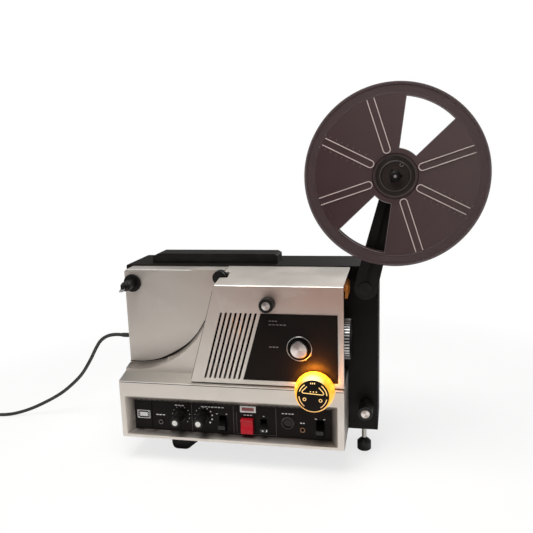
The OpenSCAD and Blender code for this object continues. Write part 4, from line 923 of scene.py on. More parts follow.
@dataclass
class Bench:
    """Operator-based modelling, with sizes in millimetres."""

    paints: Paints
    merge: float = 0.000005
    round_angle: float = 40
    flat: float = 0.25
    ring_sides: int = 10
    ring_steps: int = 64
    upright: Point = (math.pi / 2, 0, 0)

    def clear(self) -> None:
        """Leaves edit mode and deselects everything."""
        if bpy.context.object and bpy.context.object.mode != "OBJECT":
            bpy.ops.object.mode_set(mode="OBJECT")
        bpy.ops.object.select_all(action="DESELECT")

    def choose(self, piece: bpy.types.Object) -> bpy.types.Object:
        """Selects one piece alone and makes it the active one.

        Args:
            piece: the piece to work on.
        Returns:
            The same piece.
        """
        self.clear()
        piece.select_set(True)
        bpy.context.view_layer.objects.active = piece
        return piece

    def settle(self, piece: bpy.types.Object) -> bpy.types.Object:
        """Puts a piece's place, turn and scale into its mesh.

        Args:
            piece: the piece to settle.
        Returns:
            The same piece.
        """
        self.choose(piece)
        bpy.ops.object.transform_apply(location=True, rotation=True, scale=True)
        return piece

    def modify(self, piece: bpy.types.Object, kind: str, **settings: object) -> None:
        """Adds and applies one modifier.

        Args:
            piece: the piece to change.
            kind: Blender's modifier type.
            settings: the modifier's properties.
        """
        made = self.choose(piece).modifiers.new(kind.lower(), kind)
        for key, value in settings.items():
            setattr(made, key, value)
        bpy.ops.object.modifier_apply(modifier=made.name)

    def smooth(self, piece: bpy.types.Object, angle: float = 35) -> bpy.types.Object:
        """Smooth shading up to an angle between faces.

        Args:
            piece: the piece to shade.
            angle: in degrees.
        Returns:
            The same piece.
        """
        self.choose(piece)
        bpy.ops.object.shade_smooth_by_angle(angle=math.radians(angle))
        return piece

    def soften(self, piece: bpy.types.Object, grain: float, times: int) -> None:
        """Rounds a piece all over, as moulded rubber is.

        Args:
            piece: a closed mesh.
            grain: size of its new faces in millimetres.
            times: how often its points are averaged.
        """
        self.modify(piece, "REMESH", mode="VOXEL", voxel_size=grain * MM)
        self.modify(piece, "SMOOTH", factor=0.5, iterations=times)
        self.smooth(piece, angle=60)

    def finish(self, piece: bpy.types.Object, name: str, coat: Coat, body: Body, slot: Slot,
               nodes: tuple[str, ...] = ()) -> bpy.types.Object:
        """Names, paints and attaches a piece to its body, hiding the solids that it stands for.

        Args:
            piece: the finished mesh or curve object.
            name: its name.
            coat: its finish.
            body: the body that it rides on.
            slot: not used.
            nodes: solids that it stands for.
        Returns:
            The piece.
        """
        piece.name = name
        piece.data.materials.clear()
        piece.data.materials.append(self.paints[coat])
        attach(piece, body.value)
        if nodes:
            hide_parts(*nodes)
        LOG.info("%s rides on %s", name, body.value)
        return piece

    def refined(self, node: str, width: float) -> bpy.types.Object:
        """Copy of a solid's mesh with rounded edges.

        Args:
            node: the solid's name.
            width: rounding of the edges in millimetres.
        Returns:
            The new object, not yet named or painted.
        """
        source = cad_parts[node]
        copy = source.copy()
        copy.data = source.data.copy()
        copy.parent = None
        copy.matrix_world = source.matrix_world
        for key in list(copy.keys()):
            del copy[key]
        bpy.context.scene.collection.objects.link(copy)
        self.choose(copy)
        bpy.ops.object.mode_set(mode="EDIT")
        bpy.ops.mesh.select_all(action="SELECT")
        bpy.ops.mesh.remove_doubles(threshold=self.merge)
        bpy.ops.object.mode_set(mode="OBJECT")
        self.modify(copy, "BEVEL", width=width * MM, segments=3, limit_method="ANGLE",
                    angle_limit=math.radians(self.round_angle), use_clamp_overlap=True,
                    miter_outer="MITER_ARC", harden_normals=True)
        self.smooth(copy)
        self.modify(copy, "WEIGHTED_NORMAL", keep_sharp=True)
        return copy

    def disc(self, centre: Vector, radius: float, depth: float, sides: int = 48,
             soft: float = 0.2) -> bpy.types.Object:
        """Short cylinder along y with softened rims.

        Args:
            centre: row position of its middle.
            radius: in millimetres.
            depth: in millimetres.
            sides: faces around.
            soft: rounding of the rims in millimetres.
        Returns:
            The new object.
        """
        self.clear()
        bpy.ops.mesh.primitive_cylinder_add(vertices=sides, radius=radius * MM, depth=depth * MM,
                                            location=centre, rotation=self.upright)
        piece = self.settle(bpy.context.object)
        self.modify(piece, "BEVEL", width=soft * MM, segments=2, limit_method="ANGLE",
                    angle_limit=math.radians(60))
        return self.smooth(piece)

    def bar(self, centre: Vector, size: Point, soft: float, turn: Point = (0, 0, 0)) -> bpy.types.Object:
        """Box with softened edges.

        Args:
            centre: row position of its middle.
            size: in millimetres along x, y and z.
            soft: rounding of the edges in millimetres.
            turn: rotation in degrees.
        Returns:
            The new object.
        """
        self.clear()
        bpy.ops.mesh.primitive_cube_add(size=1, location=centre, rotation=[math.radians(a) for a in turn])
        piece = bpy.context.object
        piece.scale = [s * MM for s in size]
        self.settle(piece)
        self.modify(piece, "BEVEL", width=soft * MM, segments=2)
        return piece

    def ring(self, centre: Vector, radius: float, thick: float) -> bpy.types.Object:
        """Round ring about an axis along y, spun from its section.

        Args:
            centre: row position of its middle.
            radius: of the ring's centre line, in millimetres.
            thick: diameter of its section, in millimetres.
        Returns:
            The new object.
        """
        self.clear()
        bpy.ops.mesh.primitive_circle_add(vertices=self.ring_sides, radius=thick / 2 * MM,
                                          location=centre + Vector((radius * MM, 0, 0)),
                                          rotation=(0, 0, math.pi / 2))
        piece = self.settle(bpy.context.object)
        bpy.ops.object.mode_set(mode="EDIT")
        bpy.ops.mesh.select_all(action="SELECT")
        bpy.ops.mesh.spin(steps=self.ring_steps, angle=math.tau, center=centre, axis=(0, 1, 0))
        bpy.ops.mesh.select_all(action="SELECT")
        bpy.ops.mesh.remove_doubles(threshold=self.merge)
        bpy.ops.mesh.normals_make_consistent(inside=False)
        bpy.ops.object.mode_set(mode="OBJECT")
        return self.smooth(piece, angle=80)

    def tube(self, name: str, points: list[Vector], width: float, rounds: int,
             swell: tuple[float, ...] = ()) -> bpy.types.Object:
        """Round curve with closed ends.

        Args:
            name: of the new object.
            points: row positions along it.
            width: its diameter in millimetres.
            rounds: fineness of its section.
            swell: factors on the width at each point, where it changes.
        Returns:
            The new curve object.
        """
        curve = bpy.data.curves.new(name, "CURVE")
        curve.dimensions = "3D"
        curve.bevel_depth = width / 2 * MM
        curve.bevel_resolution = rounds
        curve.use_fill_caps = True
        spline = curve.splines.new("POLY")
        spline.points.add(len(points) - 1)
        for place, point, factor in zip(spline.points, points, swell or (1.0,) * len(points)):
            place.co = (*point, 1.0)
            place.radius = factor
        spline.use_smooth = True
        piece = bpy.data.objects.new(name, curve)
        bpy.context.scene.collection.objects.link(piece)
        return piece

    def meshed(self, piece: bpy.types.Object) -> bpy.types.Object:
        """Turns a curve into a mesh.

        Args:
            piece: the curve object.
        Returns:
            The mesh object.
        """
        self.choose(piece)
        bpy.ops.object.convert(target="MESH")
        return bpy.context.object

    def line(self, points: list[Pair], y: float, width: float,
             swell: tuple[float, ...] = ()) -> bpy.types.Object:
        """Line through points on a face, flattened against it.

        Args:
            points: x and z in machine millimetres.
            y: the face's depth in machine millimetres.
            width: of the line, in millimetres.
            swell: factors on the width at each point, where it changes.
        Returns:
            The new object.
        """
        piece = self.meshed(self.tube("line", [at(x, y, z) for x, z in points], width, 2, swell))
        bpy.ops.object.mode_set(mode="EDIT")
        bpy.ops.mesh.select_all(action="SELECT")
        bpy.ops.transform.resize(value=(1, self.flat, 1), center_override=at(0, y, 0))
        bpy.ops.object.mode_set(mode="OBJECT")
        return piece

    def join(self, pieces: list[bpy.types.Object]) -> bpy.types.Object:
        """Joins pieces into the first one.

        Args:
            pieces: what to join.
        Returns:
            The joined piece.
        """
        self.choose(pieces[0])
        for piece in pieces[1:]:
            piece.select_set(True)
        bpy.ops.object.join()
        return bpy.context.object

    def repeat(self, piece: bpy.types.Object, shifts: list[Pair]) -> bpy.types.Object:
        """Copies a piece across a face, each copy with its own mesh, and joins them.

        Args:
            piece: the first one.
            shifts: x and z of each copy from the first, in millimetres.
        Returns:
            The joined pieces.
        """
        made = [piece]
        for x, z in shifts:
            self.choose(piece)
            bpy.ops.object.duplicate(linked=False)
            copy = bpy.context.object
            copy.location = Vector((x, 0, z)) * MM
            made.append(self.settle(copy))
        return self.join(made)

    def dashes(self, rows: tuple[Row, ...], face: float, fill: float, thick: float,
               tall: float) -> bpy.types.Object:
        """Rows of short dashes on a face, where a control is marked.

        Args:
            rows: middle x and z, width and number of dashes of each row, in machine millimetres.
            face: the face's depth in machine millimetres.
            fill: share of the pitch that a dash takes.
            thick: how far a dash stands off the face.
            tall: a dash's height.
        Returns:
            The joined dashes.
        """
        made = []
        for x, z, width, count in rows:
            pitch = width / count
            first = at(x - (width - pitch) / 2, face - thick / 2, z)
            dash = self.bar(first, (pitch * fill, thick, tall), PRINT_SOFT)
            made.append(self.repeat(dash, [(i * pitch, 0) for i in range(1, count)]))
        return self.join(made)


@dataclass
class Casings:
    """Casing shells with rounded edges, and the paint of every other solid."""

    bench: Bench
    rounded: dict[str, tuple[float, Coat, Body, Slot]] = field(default_factory=lambda: {
        "base_housing": (1.0, Coat.SILVER, Body.CHASSIS, Slot.SILVER),
        "take_up_panel": (0.8, Coat.SILVER, Body.CHASSIS, Slot.SILVER),
        "film_cover": (0.5, Coat.SILVER, Body.CHASSIS, Slot.SILVER),
        "rear_housing": (1.2, Coat.BLACK, Body.CHASSIS, Slot.BLACK),
        "rear_cover": (1.0, Coat.BLACK, Body.CHASSIS, Slot.BLACK),
        "fixed_feet": (1.2, Coat.PLASTIC, Body.CHASSIS, Slot.RUBBER),
        "plug": (1.2, Coat.RUBBER, Body.CHASSIS, Slot.CORD),
        "handle": (1.2, Coat.PLASTIC, Body.HANDLE, Slot.PLASTIC),
        "supply_arm": (0.8, Coat.PLASTIC, Body.ARM, Slot.PLASTIC),
        "record_button": (0.8, Coat.RED, Body.RECORD, Slot.KEY),
        "sound_switch": (0.6, Coat.PLASTIC, Body.SOUND_LEVER, Slot.PLASTIC),
        "speed_switch": (0.6, Coat.PLASTIC, Body.SPEED_LEVER, Slot.PLASTIC),
        "record_toggle": (0.6, Coat.PLASTIC, Body.TOGGLE, Slot.PLASTIC)})
    moulded: dict[str, tuple[float, int]] = field(default_factory=lambda: {"fixed_feet": (0.9, 60)})
    plain: dict[Coat, tuple[str, ...]] = field(default_factory=lambda: {
        Coat.BLACK: ("base_floor", "lens_holder", "lamp_house", "shutter"),
        Coat.PANEL: ("control_panel", "cover_fascia", "focus_bezel", "mode_face"),
        Coat.PLASTIC: ("loudspeaker", "arm_pivot", "supply_spindle", "take_up_spindle", "exit_roller",
                       "focus_knob", "framing_knob", "clamp_knob", "volume_knob", "sound_knob"),
        Coat.STEEL: ("potentiometers", "cover_screws", "film_gate", "pressure_plate", "shutter_bracket",
                     "motor_can", "sound_head", "film_sprocket", "motor_rotor"),
        Coat.GLASS: ("lamp_bulb", "pilot_bulb"), Coat.LENS: ("lens_glass",), Coat.MIRROR: ("lamp_reflector",),
        Coat.CERAMIC: ("lamp_socket",), Coat.SOCKET: ("panel_sockets",), Coat.BOARD: ("amplifier_board",),
        Coat.IRON: ("transformer",), Coat.RUBBER: ("drive_belt",), Coat.ORANGE: ("entry_guide",),
        Coat.SMOKE: ("reel_front_flange",), Coat.SMOKE_BACK: ("reel_back_flange",), Coat.HUB: ("reel_core",),
        Coat.AMBER: ("mode_ring",),
        Coat.WHITE: ("level_display",), Coat.RIBBED: ("lens_barrel",), Coat.FOOT: ("height_foot",)})

    def build(self) -> dict[str, bpy.types.Object]:
        """Rounds the shells and paints every other solid.

        Returns:
            The rounded copies by their solid's name.
        """
        made = {}
        for node, (width, coat, body, slot) in self.rounded.items():
            piece = self.bench.refined(node, width)
            if node in self.moulded:
                self.bench.soften(piece, *self.moulded[node])
            made[node] = self.bench.finish(piece, node + "_shell", coat, body, slot, (node,))
        for coat, nodes in self.plain.items():
            for node in nodes:
                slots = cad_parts[node].data.materials
                slots.clear()
                slots.append(self.bench.paints[coat])
        return made


@dataclass
class ControlPanel:
    """Printed marks, window, notches and rims of the control panel."""

    bench: Bench
    face: float = 10.0
    print_t: float = 0.12
    rows: tuple[Row, ...] = (
        (75.3, 42.2, 13, 3), (119, 42.3, 31, 7), (49.3, 28.1, 13, 3), (124.6, 33.7, 3, 1),
        (136.9, 33.8, 3, 1), (164.6, 34.3, 12, 3), (184.6, 33.8, 2.5, 1), (215.1, 39.1, 16, 4),
        (233.1, 27.9, 6.5, 2), (249.6, 34.4, 3.5, 1), (260, 34.2, 3.5, 1))
    dash_fill: float = 0.72
    dash_tall: float = 1.1
    dot_sets: dict[str, tuple[Pair, float]] = field(default_factory=lambda: {
        "volume_dots": ((76.985, 29), 0.55), "sound_dots": ((106.9985, 29.5), 1.15)})
    dot_first: float = 0.35
    dot_ring: float = 11.5
    dot_turns: Pair = (225, -45)
    dot_count: int = 11
    dot_sides: int = 16
    dividers: tuple[float, ...] = (91.4, 146, 200.2)
    divider_z: Pair = (8, 45.5)
    key_border: tuple[Pair, ...] = ((150, 37), (150, 9), (200, 9))
    line_w: float = 0.5
    badge: tuple[float, float, float, float] = (18, 22.5, 34.8, 32.7)
    badge_w: float = 0.9
    picture_in: Pair = (6.4, 4.6)
    hole_in: float = 1.7
    hole_size: Pair = (1.3, 1.2)
    hole_count: int = 4
    window: tuple[float, float, float, float] = (165.0, 42.4, 15.6, 4.6)
    window_t: float = 0.3
    window_soft: float = 0.1
    notch_x: Pair = (18, 264)
    notch_pitch: float = 7.1
    notch_at: Pair = (7.8, 48.45)
    notch_size: Point = (4.2, 1.4, 0.3)
    notch_turn: Point = (-42, 0, 0)
    jacks: dict[str, tuple[Coat, float, float]] = field(default_factory=lambda: {
        "monitor": (Coat.FAINT, 49.5, 18.7), "microphone": (Coat.COPPER, 233.3, 19.3)})
    jack_r: float = 2.7
    jack_w: float = 0.7
    round_socket: Pair = (215.0, 27.5)
    socket_r: float = 7.4
    socket_w: float = 0.6

    def dots(self, knob: Pair, last: float) -> bpy.types.Object:
        """Round marks about a knob, growing clockwise.

        Args:
            knob: the knob's x and z in machine millimetres.
            last: radius of the last dot.
        Returns:
            The joined dots.
        """
        steps = self.dot_count - 1
        made = []
        for i, (x, z) in enumerate(arc(knob, self.dot_ring, *self.dot_turns, steps)):
            radius = self.dot_first + (last - self.dot_first) * i / steps
            place = at(x, self.face - self.print_t / 2, z)
            made.append(self.bench.disc(place, radius, self.print_t, self.dot_sides, PRINT_SOFT))
        return self.bench.join(made)

    def lines(self) -> bpy.types.Object:
        """Fine lines between the panel's groups and beside the record key.

        Returns:
            The joined lines.
        """
        low, high = self.divider_z
        routes = [[(x, low), (x, high)] for x in self.dividers] + [list(self.key_border)]
        return self.bench.join([self.bench.line(route, self.face, self.line_w) for route in routes])

    def notches(self) -> bpy.types.Object:
        """Row of dark notches along the recess's upper bevel.

        Returns:
            The joined notches.
        """
        start, end = self.notch_x
        notch = self.bench.bar(at(start, *self.notch_at), self.notch_size, PRINT_SOFT, self.notch_turn)
        count = math.ceil((end - start) / self.notch_pitch)
        return self.bench.repeat(notch, [(i * self.notch_pitch, 0) for i in range(1, count)])

    def film_sign(self) -> bpy.types.Object:
        """Generic sign of a film frame, its perforations as small squares.

        Returns:
            The joined sign.
        """
        x0, z0, x1, z1 = self.badge
        y = self.face - self.print_t / 2
        size = (x1 - x0 - self.picture_in[0], self.print_t, z1 - z0 - self.picture_in[1])
        picture = self.bench.bar(at((x0 + x1) / 2, y, (z0 + z1) / 2), size, PRINT_SOFT)
        pitch = (z1 - z0) / self.hole_count
        hole = self.bench.bar(at(x0 + self.hole_in, y, z0 + pitch / 2),
                              (self.hole_size[0], self.print_t, self.hole_size[1]), PRINT_SOFT)
        shifts = [(x, i * pitch) for x in (0, x1 - x0 - 2 * self.hole_in) for i in range(self.hole_count)]
        return self.bench.join([picture, self.bench.repeat(hole, shifts[1:])])

    def build(self) -> None:
        """Prints the panel and sets in its window and rims."""
        b = self.bench
        marks = b.dashes(self.rows, self.face, self.dash_fill, self.print_t, self.dash_tall)
        b.finish(marks, "panel_dashes", Coat.PRINT, Body.CHASSIS, Slot.PANEL)
        for name, (knob, last) in self.dot_sets.items():
            b.finish(self.dots(knob, last), name, Coat.PRINT, Body.CHASSIS, Slot.PANEL)
        b.finish(self.lines(), "panel_dividers", Coat.DIM, Body.CHASSIS, Slot.PANEL)
        x0, z0, x1, z1 = self.badge
        border = b.line([(x0, z0), (x1, z0), (x1, z1), (x0, z1), (x0, z0)], self.face, self.badge_w)
        b.finish(border, "bare_badge_frame", Coat.PRINT, Body.CHASSIS, Slot.PANEL)
        x, z, width, height = self.window
        front = machine(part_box("level_display")[0])[1]
        pane = b.bar(at(x, front, z), (width, self.window_t, height), self.window_soft)
        b.finish(pane, "level_window", Coat.WINDOW, Body.CHASSIS, Slot.DISPLAY)
        b.finish(self.notches(), "recess_notches", Coat.BLACK, Body.CHASSIS, Slot.PANEL)
        front = machine(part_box("panel_sockets")[0])[1]
        for name, (coat, x, z) in self.jacks.items():
            rim = b.ring(at(x, front, z), self.jack_r, self.jack_w)
            b.finish(rim, name + "_jack_rim", coat, Body.CHASSIS, Slot.METAL)
        x, z = self.round_socket
        rim = b.ring(at(x, front, z), self.socket_r, self.socket_w)
        b.finish(rim, "round_socket_rim", Coat.DIM, Body.CHASSIS, Slot.PANEL)
        b.finish(self.film_sign(), "film_sign", Coat.PRINT, Body.CHASSIS, Slot.PANEL)


@dataclass
class Caps:
    """Set-in caps and rings on the turning controls."""

    bench: Bench
    caps: dict[str, tuple[float, Coat, Body]] = field(default_factory=lambda: {
        "volume_knob": (3.5, Coat.WHITE, Body.VOLUME), "sound_knob": (3.5, Coat.WHITE, Body.SOUND),
        "framing_knob": (5.0, Coat.FRAMING_CAP, Body.FRAMING),
        "clamp_knob": (5.4, Coat.CLAMP_CAP, Body.CLAMP),
        "focus_knob": (9.6, Coat.FOCUS_CAP, Body.FOCUS)})
    cap_t: float = 0.5
    sunk: float = 0.2
    rim_r: float = 14.7
    rim_w: float = 0.8
    dot_r: float = 1.1
    dot_t: float = 0.8
    dot_in: float = 0.8
    dot_up: float = 3.2
    dot_sides: int = 24

    def build(self) -> None:
        """Adds the caps, the focus ring and the toggle's dot."""
        b = self.bench
        for node, (radius, coat, body) in self.caps.items():
            cap = b.disc(face_middle(node) + Vector((0, self.sunk * MM, 0)), radius, self.cap_t)
            b.finish(cap, node + "_cap", coat, body, Slot.METAL)
        rim = b.ring(face_middle("focus_bezel"), self.rim_r, self.rim_w)
        b.finish(rim, "focus_rim", Coat.BRIGHT, Body.CHASSIS, Slot.METAL)
        place = face_middle("record_toggle")
        place[1] += self.dot_in * MM
        place[2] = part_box("record_toggle")[0][2] + self.dot_up * MM
        dot = b.disc(place, self.dot_r, self.dot_t, self.dot_sides)
        b.finish(dot, "toggle_dot", Coat.WHITE, Body.TOGGLE, Slot.METAL)


@dataclass
class FilmSlot:
    """Dark strip along the reel bay's lower edge: the film slot's opening and painted shade along the bay's
    edge, widest where the film goes in.
    """

    bench: Bench
    radius: float = 106.2
    face: float = 39.7
    sweep: Pair = (-96, -27)
    steps: int = 60
    mouth: float = -61
    mouth_half: float = 11
    thin: float = 1.0
    wide: float = 3.4

    def build(self) -> None:
        """Adds the dark strip on an arc about the take-up spindle."""
        middle = machine(middle_of("take_up_spindle"))
        start, end = self.sweep
        turns = [start + (end - start) * i / self.steps for i in range(self.steps + 1)]
        more = self.wide / self.thin - 1
        swell = tuple(1 + more * math.exp(-((a - self.mouth) / self.mouth_half) ** 2) for a in turns)
        points = arc((middle[0], middle[2]), self.radius, start, end, self.steps)
        strip = self.bench.smooth(self.bench.line(points, self.face, self.thin, swell), angle=50)
        self.bench.finish(strip, "film_slot_and_shade", Coat.BLACK, Body.CHASSIS, Slot.RUBBER)


@dataclass
class CoverShadeLine:
    """Thin dark strip along the cover's leaning edge: painted shade where the edge stands in front of the
    panel.
    """

    bench: Bench
    foot: Pair = (95.0, 78.0)
    lean: float = 0.29
    rise: Pair = (3.0, 116.0)
    depth: float = 1.3
    width: float = 1.1
    face: float = 4.6
    sunk: float = 0.1
    soft: float = 0.3

    def build(self) -> None:
        """Adds the strip, half sunk in the cover's side."""
        low, high = self.rise
        middle = (low + high) / 2
        turn = math.atan(self.lean)
        place = at(self.foot[0] + middle * self.lean - self.sunk, self.face, self.foot[1] + middle)
        size = (self.width, self.depth, (high - low) / math.cos(turn))
        # Painted shade: a dark strip where the cover's edge meets the panel behind it.
        shade_strip = self.bench.smooth(self.bench.bar(place, size, self.soft, (0, math.degrees(turn), 0)), angle=50)
        self.bench.finish(shade_strip, "cover_shade_line", Coat.RUBBER, Body.CHASSIS, Slot.RUBBER)


@dataclass
class SpindleCatch:
    """Steel catch under the take-up spindle's tip, which holds the reel on."""

    bench: Bench
    size: Point = (5.6, 7.0, 0.9)
    shift: Point = (0.0, -1.2, -2.4)
    turn: Point = (24, 0, 0)
    soft: float = 0.3

    def build(self) -> None:
        """Adds the catch, turning with the spindle."""
        place = face_middle("take_up_spindle") + Vector(self.shift) * MM
        catch = self.bench.bar(place, self.size, self.soft, self.turn)
        self.bench.finish(catch, "spindle_catch", Coat.STEEL, Body.TAKE_UP, Slot.METAL)


@dataclass
class DeckEdgeLine:
    """Fine dark line along the front edge of the base's deck."""

    bench: Bench
    height: float = 74.0
    ends: Pair = (1.2, 283.8)
    clear: float = 1.0
    width: float = 0.8

    def build(self) -> None:
        """Adds the dark line on either side of the lit knob."""
        low, high = (machine(corner)[0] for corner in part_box("mode_ring"))
        spans = (self.ends[0], low - self.clear), (high + self.clear, self.ends[1])
        lines = [self.bench.line([(x, self.height) for x in span], 0.0, self.width) for span in spans]
        self.bench.finish(self.bench.join(lines), "deck_edge_line", Coat.BLACK, Body.CHASSIS, Slot.SILVER)


@dataclass
class EdgeHighlights:
    """Painted highlights: bright lines along two edges of the silver casing, where light catches their
    rounding.
    """

    bench: Bench
    edges: tuple[tuple[float, float, float, float, float], ...] = (
        (2.5, 91.0, 40.0, 211.5, 1.0), (2.0, 93.5, 0.0, 75.1, 0.7))

    def build(self) -> None:
        """Adds the highlights as thin lines along x, each from two ends, a depth, a height and a width."""
        lines = [self.bench.line([(x0, z), (x1, z)], y, width) for x0, x1, y, z, width in self.edges]
        self.bench.finish(self.bench.join(lines), "painted_edge_highlights", Coat.PRINT, Body.CHASSIS, Slot.SILVER)


@dataclass
class FasciaMarks:
    """Generic marks beside the cover's two controls."""

    bench: Bench
    face: float = 2.2
    rows: tuple[Row, ...] = ((201.5, 158.9, 11, 3), (206.8, 154.4, 22, 5), (201.8, 126.8, 12, 3))
    dash_fill: float = 0.75
    dash_t: float = 0.1
    dash_tall: float = 1.2

    def build(self) -> None:
        """Prints the rows of dashes."""
        marks = self.bench.dashes(self.rows, self.face, self.dash_fill, self.dash_t, self.dash_tall)
        self.bench.finish(marks, "fascia_dashes", Coat.FAINT, Body.CHASSIS, Slot.PANEL)


@dataclass
class ModeDial:
    """Marks on the lit knob's dark face."""

    bench: Bench
    ring_r: float = 16.4
    line_w: float = 1.15
    sweeps: tuple[Pair, ...] = ((125, 162), (4, 52), (184, 232), (-58, -12))
    bridge: tuple[Pair, ...] = (
        (-6.9, 11.3), (-12.4, 5.8), (-12.6, 4.2), (-11.4, 3.3), (11.4, 1.9), (12.6, 2.8), (12.4, 4.6),
        (7.1, 10.8))
    bridge_w: float = 1.035
    loops: tuple[Pair, ...] = ((-9.9, -4.4), (8.9, -5.2))
    loop_r: float = 1.7
    loop_w: float = 0.9
    tick_x: tuple[float, ...] = (-2.2, 0, 2.2)
    tick_z: Pair = (14.6, 16.6)
    tick_w: float = 1.1
    dash_x: tuple[float, ...] = (-3.52, 0, 3.52)
    dash_z: float = 5.2
    dash_l: float = 1.4
    dash_w: float = 1.5

    def build(self) -> None:
        """Prints arcs, the bridge line, small loops and two groups of ticks."""
        b = self.bench
        cx, face, cz = machine(face_middle("mode_face"))
        routes = [(arc((cx, cz), self.ring_r, *sweep), self.line_w) for sweep in self.sweeps]
        routes.append(([(cx + x, cz + z) for x, z in self.bridge], self.bridge_w))
        routes += [(arc((cx + x, cz + z), self.loop_r, 0, 360), self.loop_w) for x, z in self.loops]
        routes += [([(cx + x, cz + z) for z in self.tick_z], self.tick_w) for x in self.tick_x]
        routes += [([(cx + x + along, cz + self.dash_z) for along in (0, self.dash_l)], self.dash_w)
                   for x in self.dash_x]
        made = [b.line(points, face, width) for points, width in routes]
        b.finish(b.join(made), "dial_marks", Coat.MARK, Body.MODE, Slot.AMBER)


@dataclass
class ReelDetails:
    """Hub rings, a small hole, the spindle's bright tip, window edges and the faint film scale."""

    bench: Bench
    hub_rings: dict[str, tuple[Coat, Pair, float]] = field(default_factory=lambda: {
        "hub_groove": (Coat.PLASTIC, (15.8, 20.6), 0.9), "hub_rim": (Coat.DIM, (16.9, 22.6), 0.8)})
    hub_in: float = 1.2
    hole: Pair = (6.9, 12.4)
    hole_r: float = 1.9
    hole_w: float = 0.7
    tip_r: float = 1.7
    tip_t: float = 0.6
    plate_in: float = 0.6
    windows: tuple[float, ...] = (63, 243)
    window_half: float = 19.5
    window_r: Pair = (31, 88)
    window_steps: int = 16
    window_w: float = 0.7
    plate_rings: dict[str, tuple[Coat, float, float, Slot]] = field(default_factory=lambda: {
        "rim_step": (Coat.DIM, 90.5, 0.4, Slot.SMOKE), "hub_step": (Coat.PANEL, 25.2, 0.8, Slot.PLASTIC)})
    scale_at: tuple[float, ...] = (153, 333)
    scale_r: tuple[float, ...] = (40, 48, 56, 63, 70, 77, 84, 91)
    scale_off: float = 7.5
    tick_half: float = 0.9
    tick_w: float = 0.5

    def window_edges(self, hub: Pair, plate: float) -> bpy.types.Object:
        """Pale moulded edge round each open sector.

        Args:
            hub: its x and z in machine millimetres.
            plate: the flange face's depth in machine millimetres.
        Returns:
            The joined edges.
        """
        made = []
        for middle in self.windows:
            ends = middle - self.window_half, middle + self.window_half
            inner, outer = (arc(hub, radius, *ends, self.window_steps) for radius in self.window_r)
            made.append(self.bench.line(outer + inner[::-1] + outer[:1], plate, self.window_w))
        return self.bench.join(made)

    def film_scale(self, hub: Pair, plate: float) -> bpy.types.Object:
        """Short upright ticks on both sides of two ribs.

        Args:
            hub: its x and z in machine millimetres.
            plate: the flange face's depth in machine millimetres.
        Returns:
            The joined ticks.
        """
        places = []
        for turn in self.scale_at:
            along = Vector((math.cos(math.radians(turn)), math.sin(math.radians(turn))))
            across = Vector((-along[1], along[0])) * self.scale_off
            places += [along * reach + across * side for reach in self.scale_r for side in (-1, 1)]
        x, z = Vector(hub) + places[0]
        tick = self.bench.line([(x, z - self.tick_half), (x, z + self.tick_half)], plate, self.tick_w)
        return self.bench.repeat(tick, [tuple(place - places[0]) for place in places[1:]])

    def build(self) -> None:
        """Adds the details, all turning with the reel."""
        b = self.bench
        cx, face, cz = machine(face_middle("reel_core"))
        for name, (coat, radii, width) in self.hub_rings.items():
            rings = [b.ring(at(cx, face + self.hub_in, cz), radius, width) for radius in radii]
            b.finish(b.join(rings), name, coat, Body.REEL, Slot.PLASTIC)
        place = at(cx + self.hole[0], face + self.hub_in, cz + self.hole[1])
        b.finish(b.ring(place, self.hole_r, self.hole_w), "hub_hole_rim", Coat.FAINT, Body.REEL, Slot.PLASTIC)
        tip = b.disc(at(cx, machine(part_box("supply_spindle")[0])[1], cz), self.tip_r, self.tip_t)
        b.finish(tip, "spindle_tip", Coat.BRIGHT, Body.REEL, Slot.METAL)
        plate = machine(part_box("reel_front_flange")[0])[1] + self.plate_in
        b.finish(self.window_edges((cx, cz), plate), "window_edges", Coat.FAINT, Body.REEL, Slot.SMOKE)
        for name, (coat, radius, width, slot) in self.plate_rings.items():
            b.finish(b.ring(at(cx, plate, cz), radius, width), name, coat, Body.REEL, slot)
        b.finish(self.film_scale((cx, cz), plate), "film_scale", Coat.FAINT, Body.REEL, Slot.SMOKE)


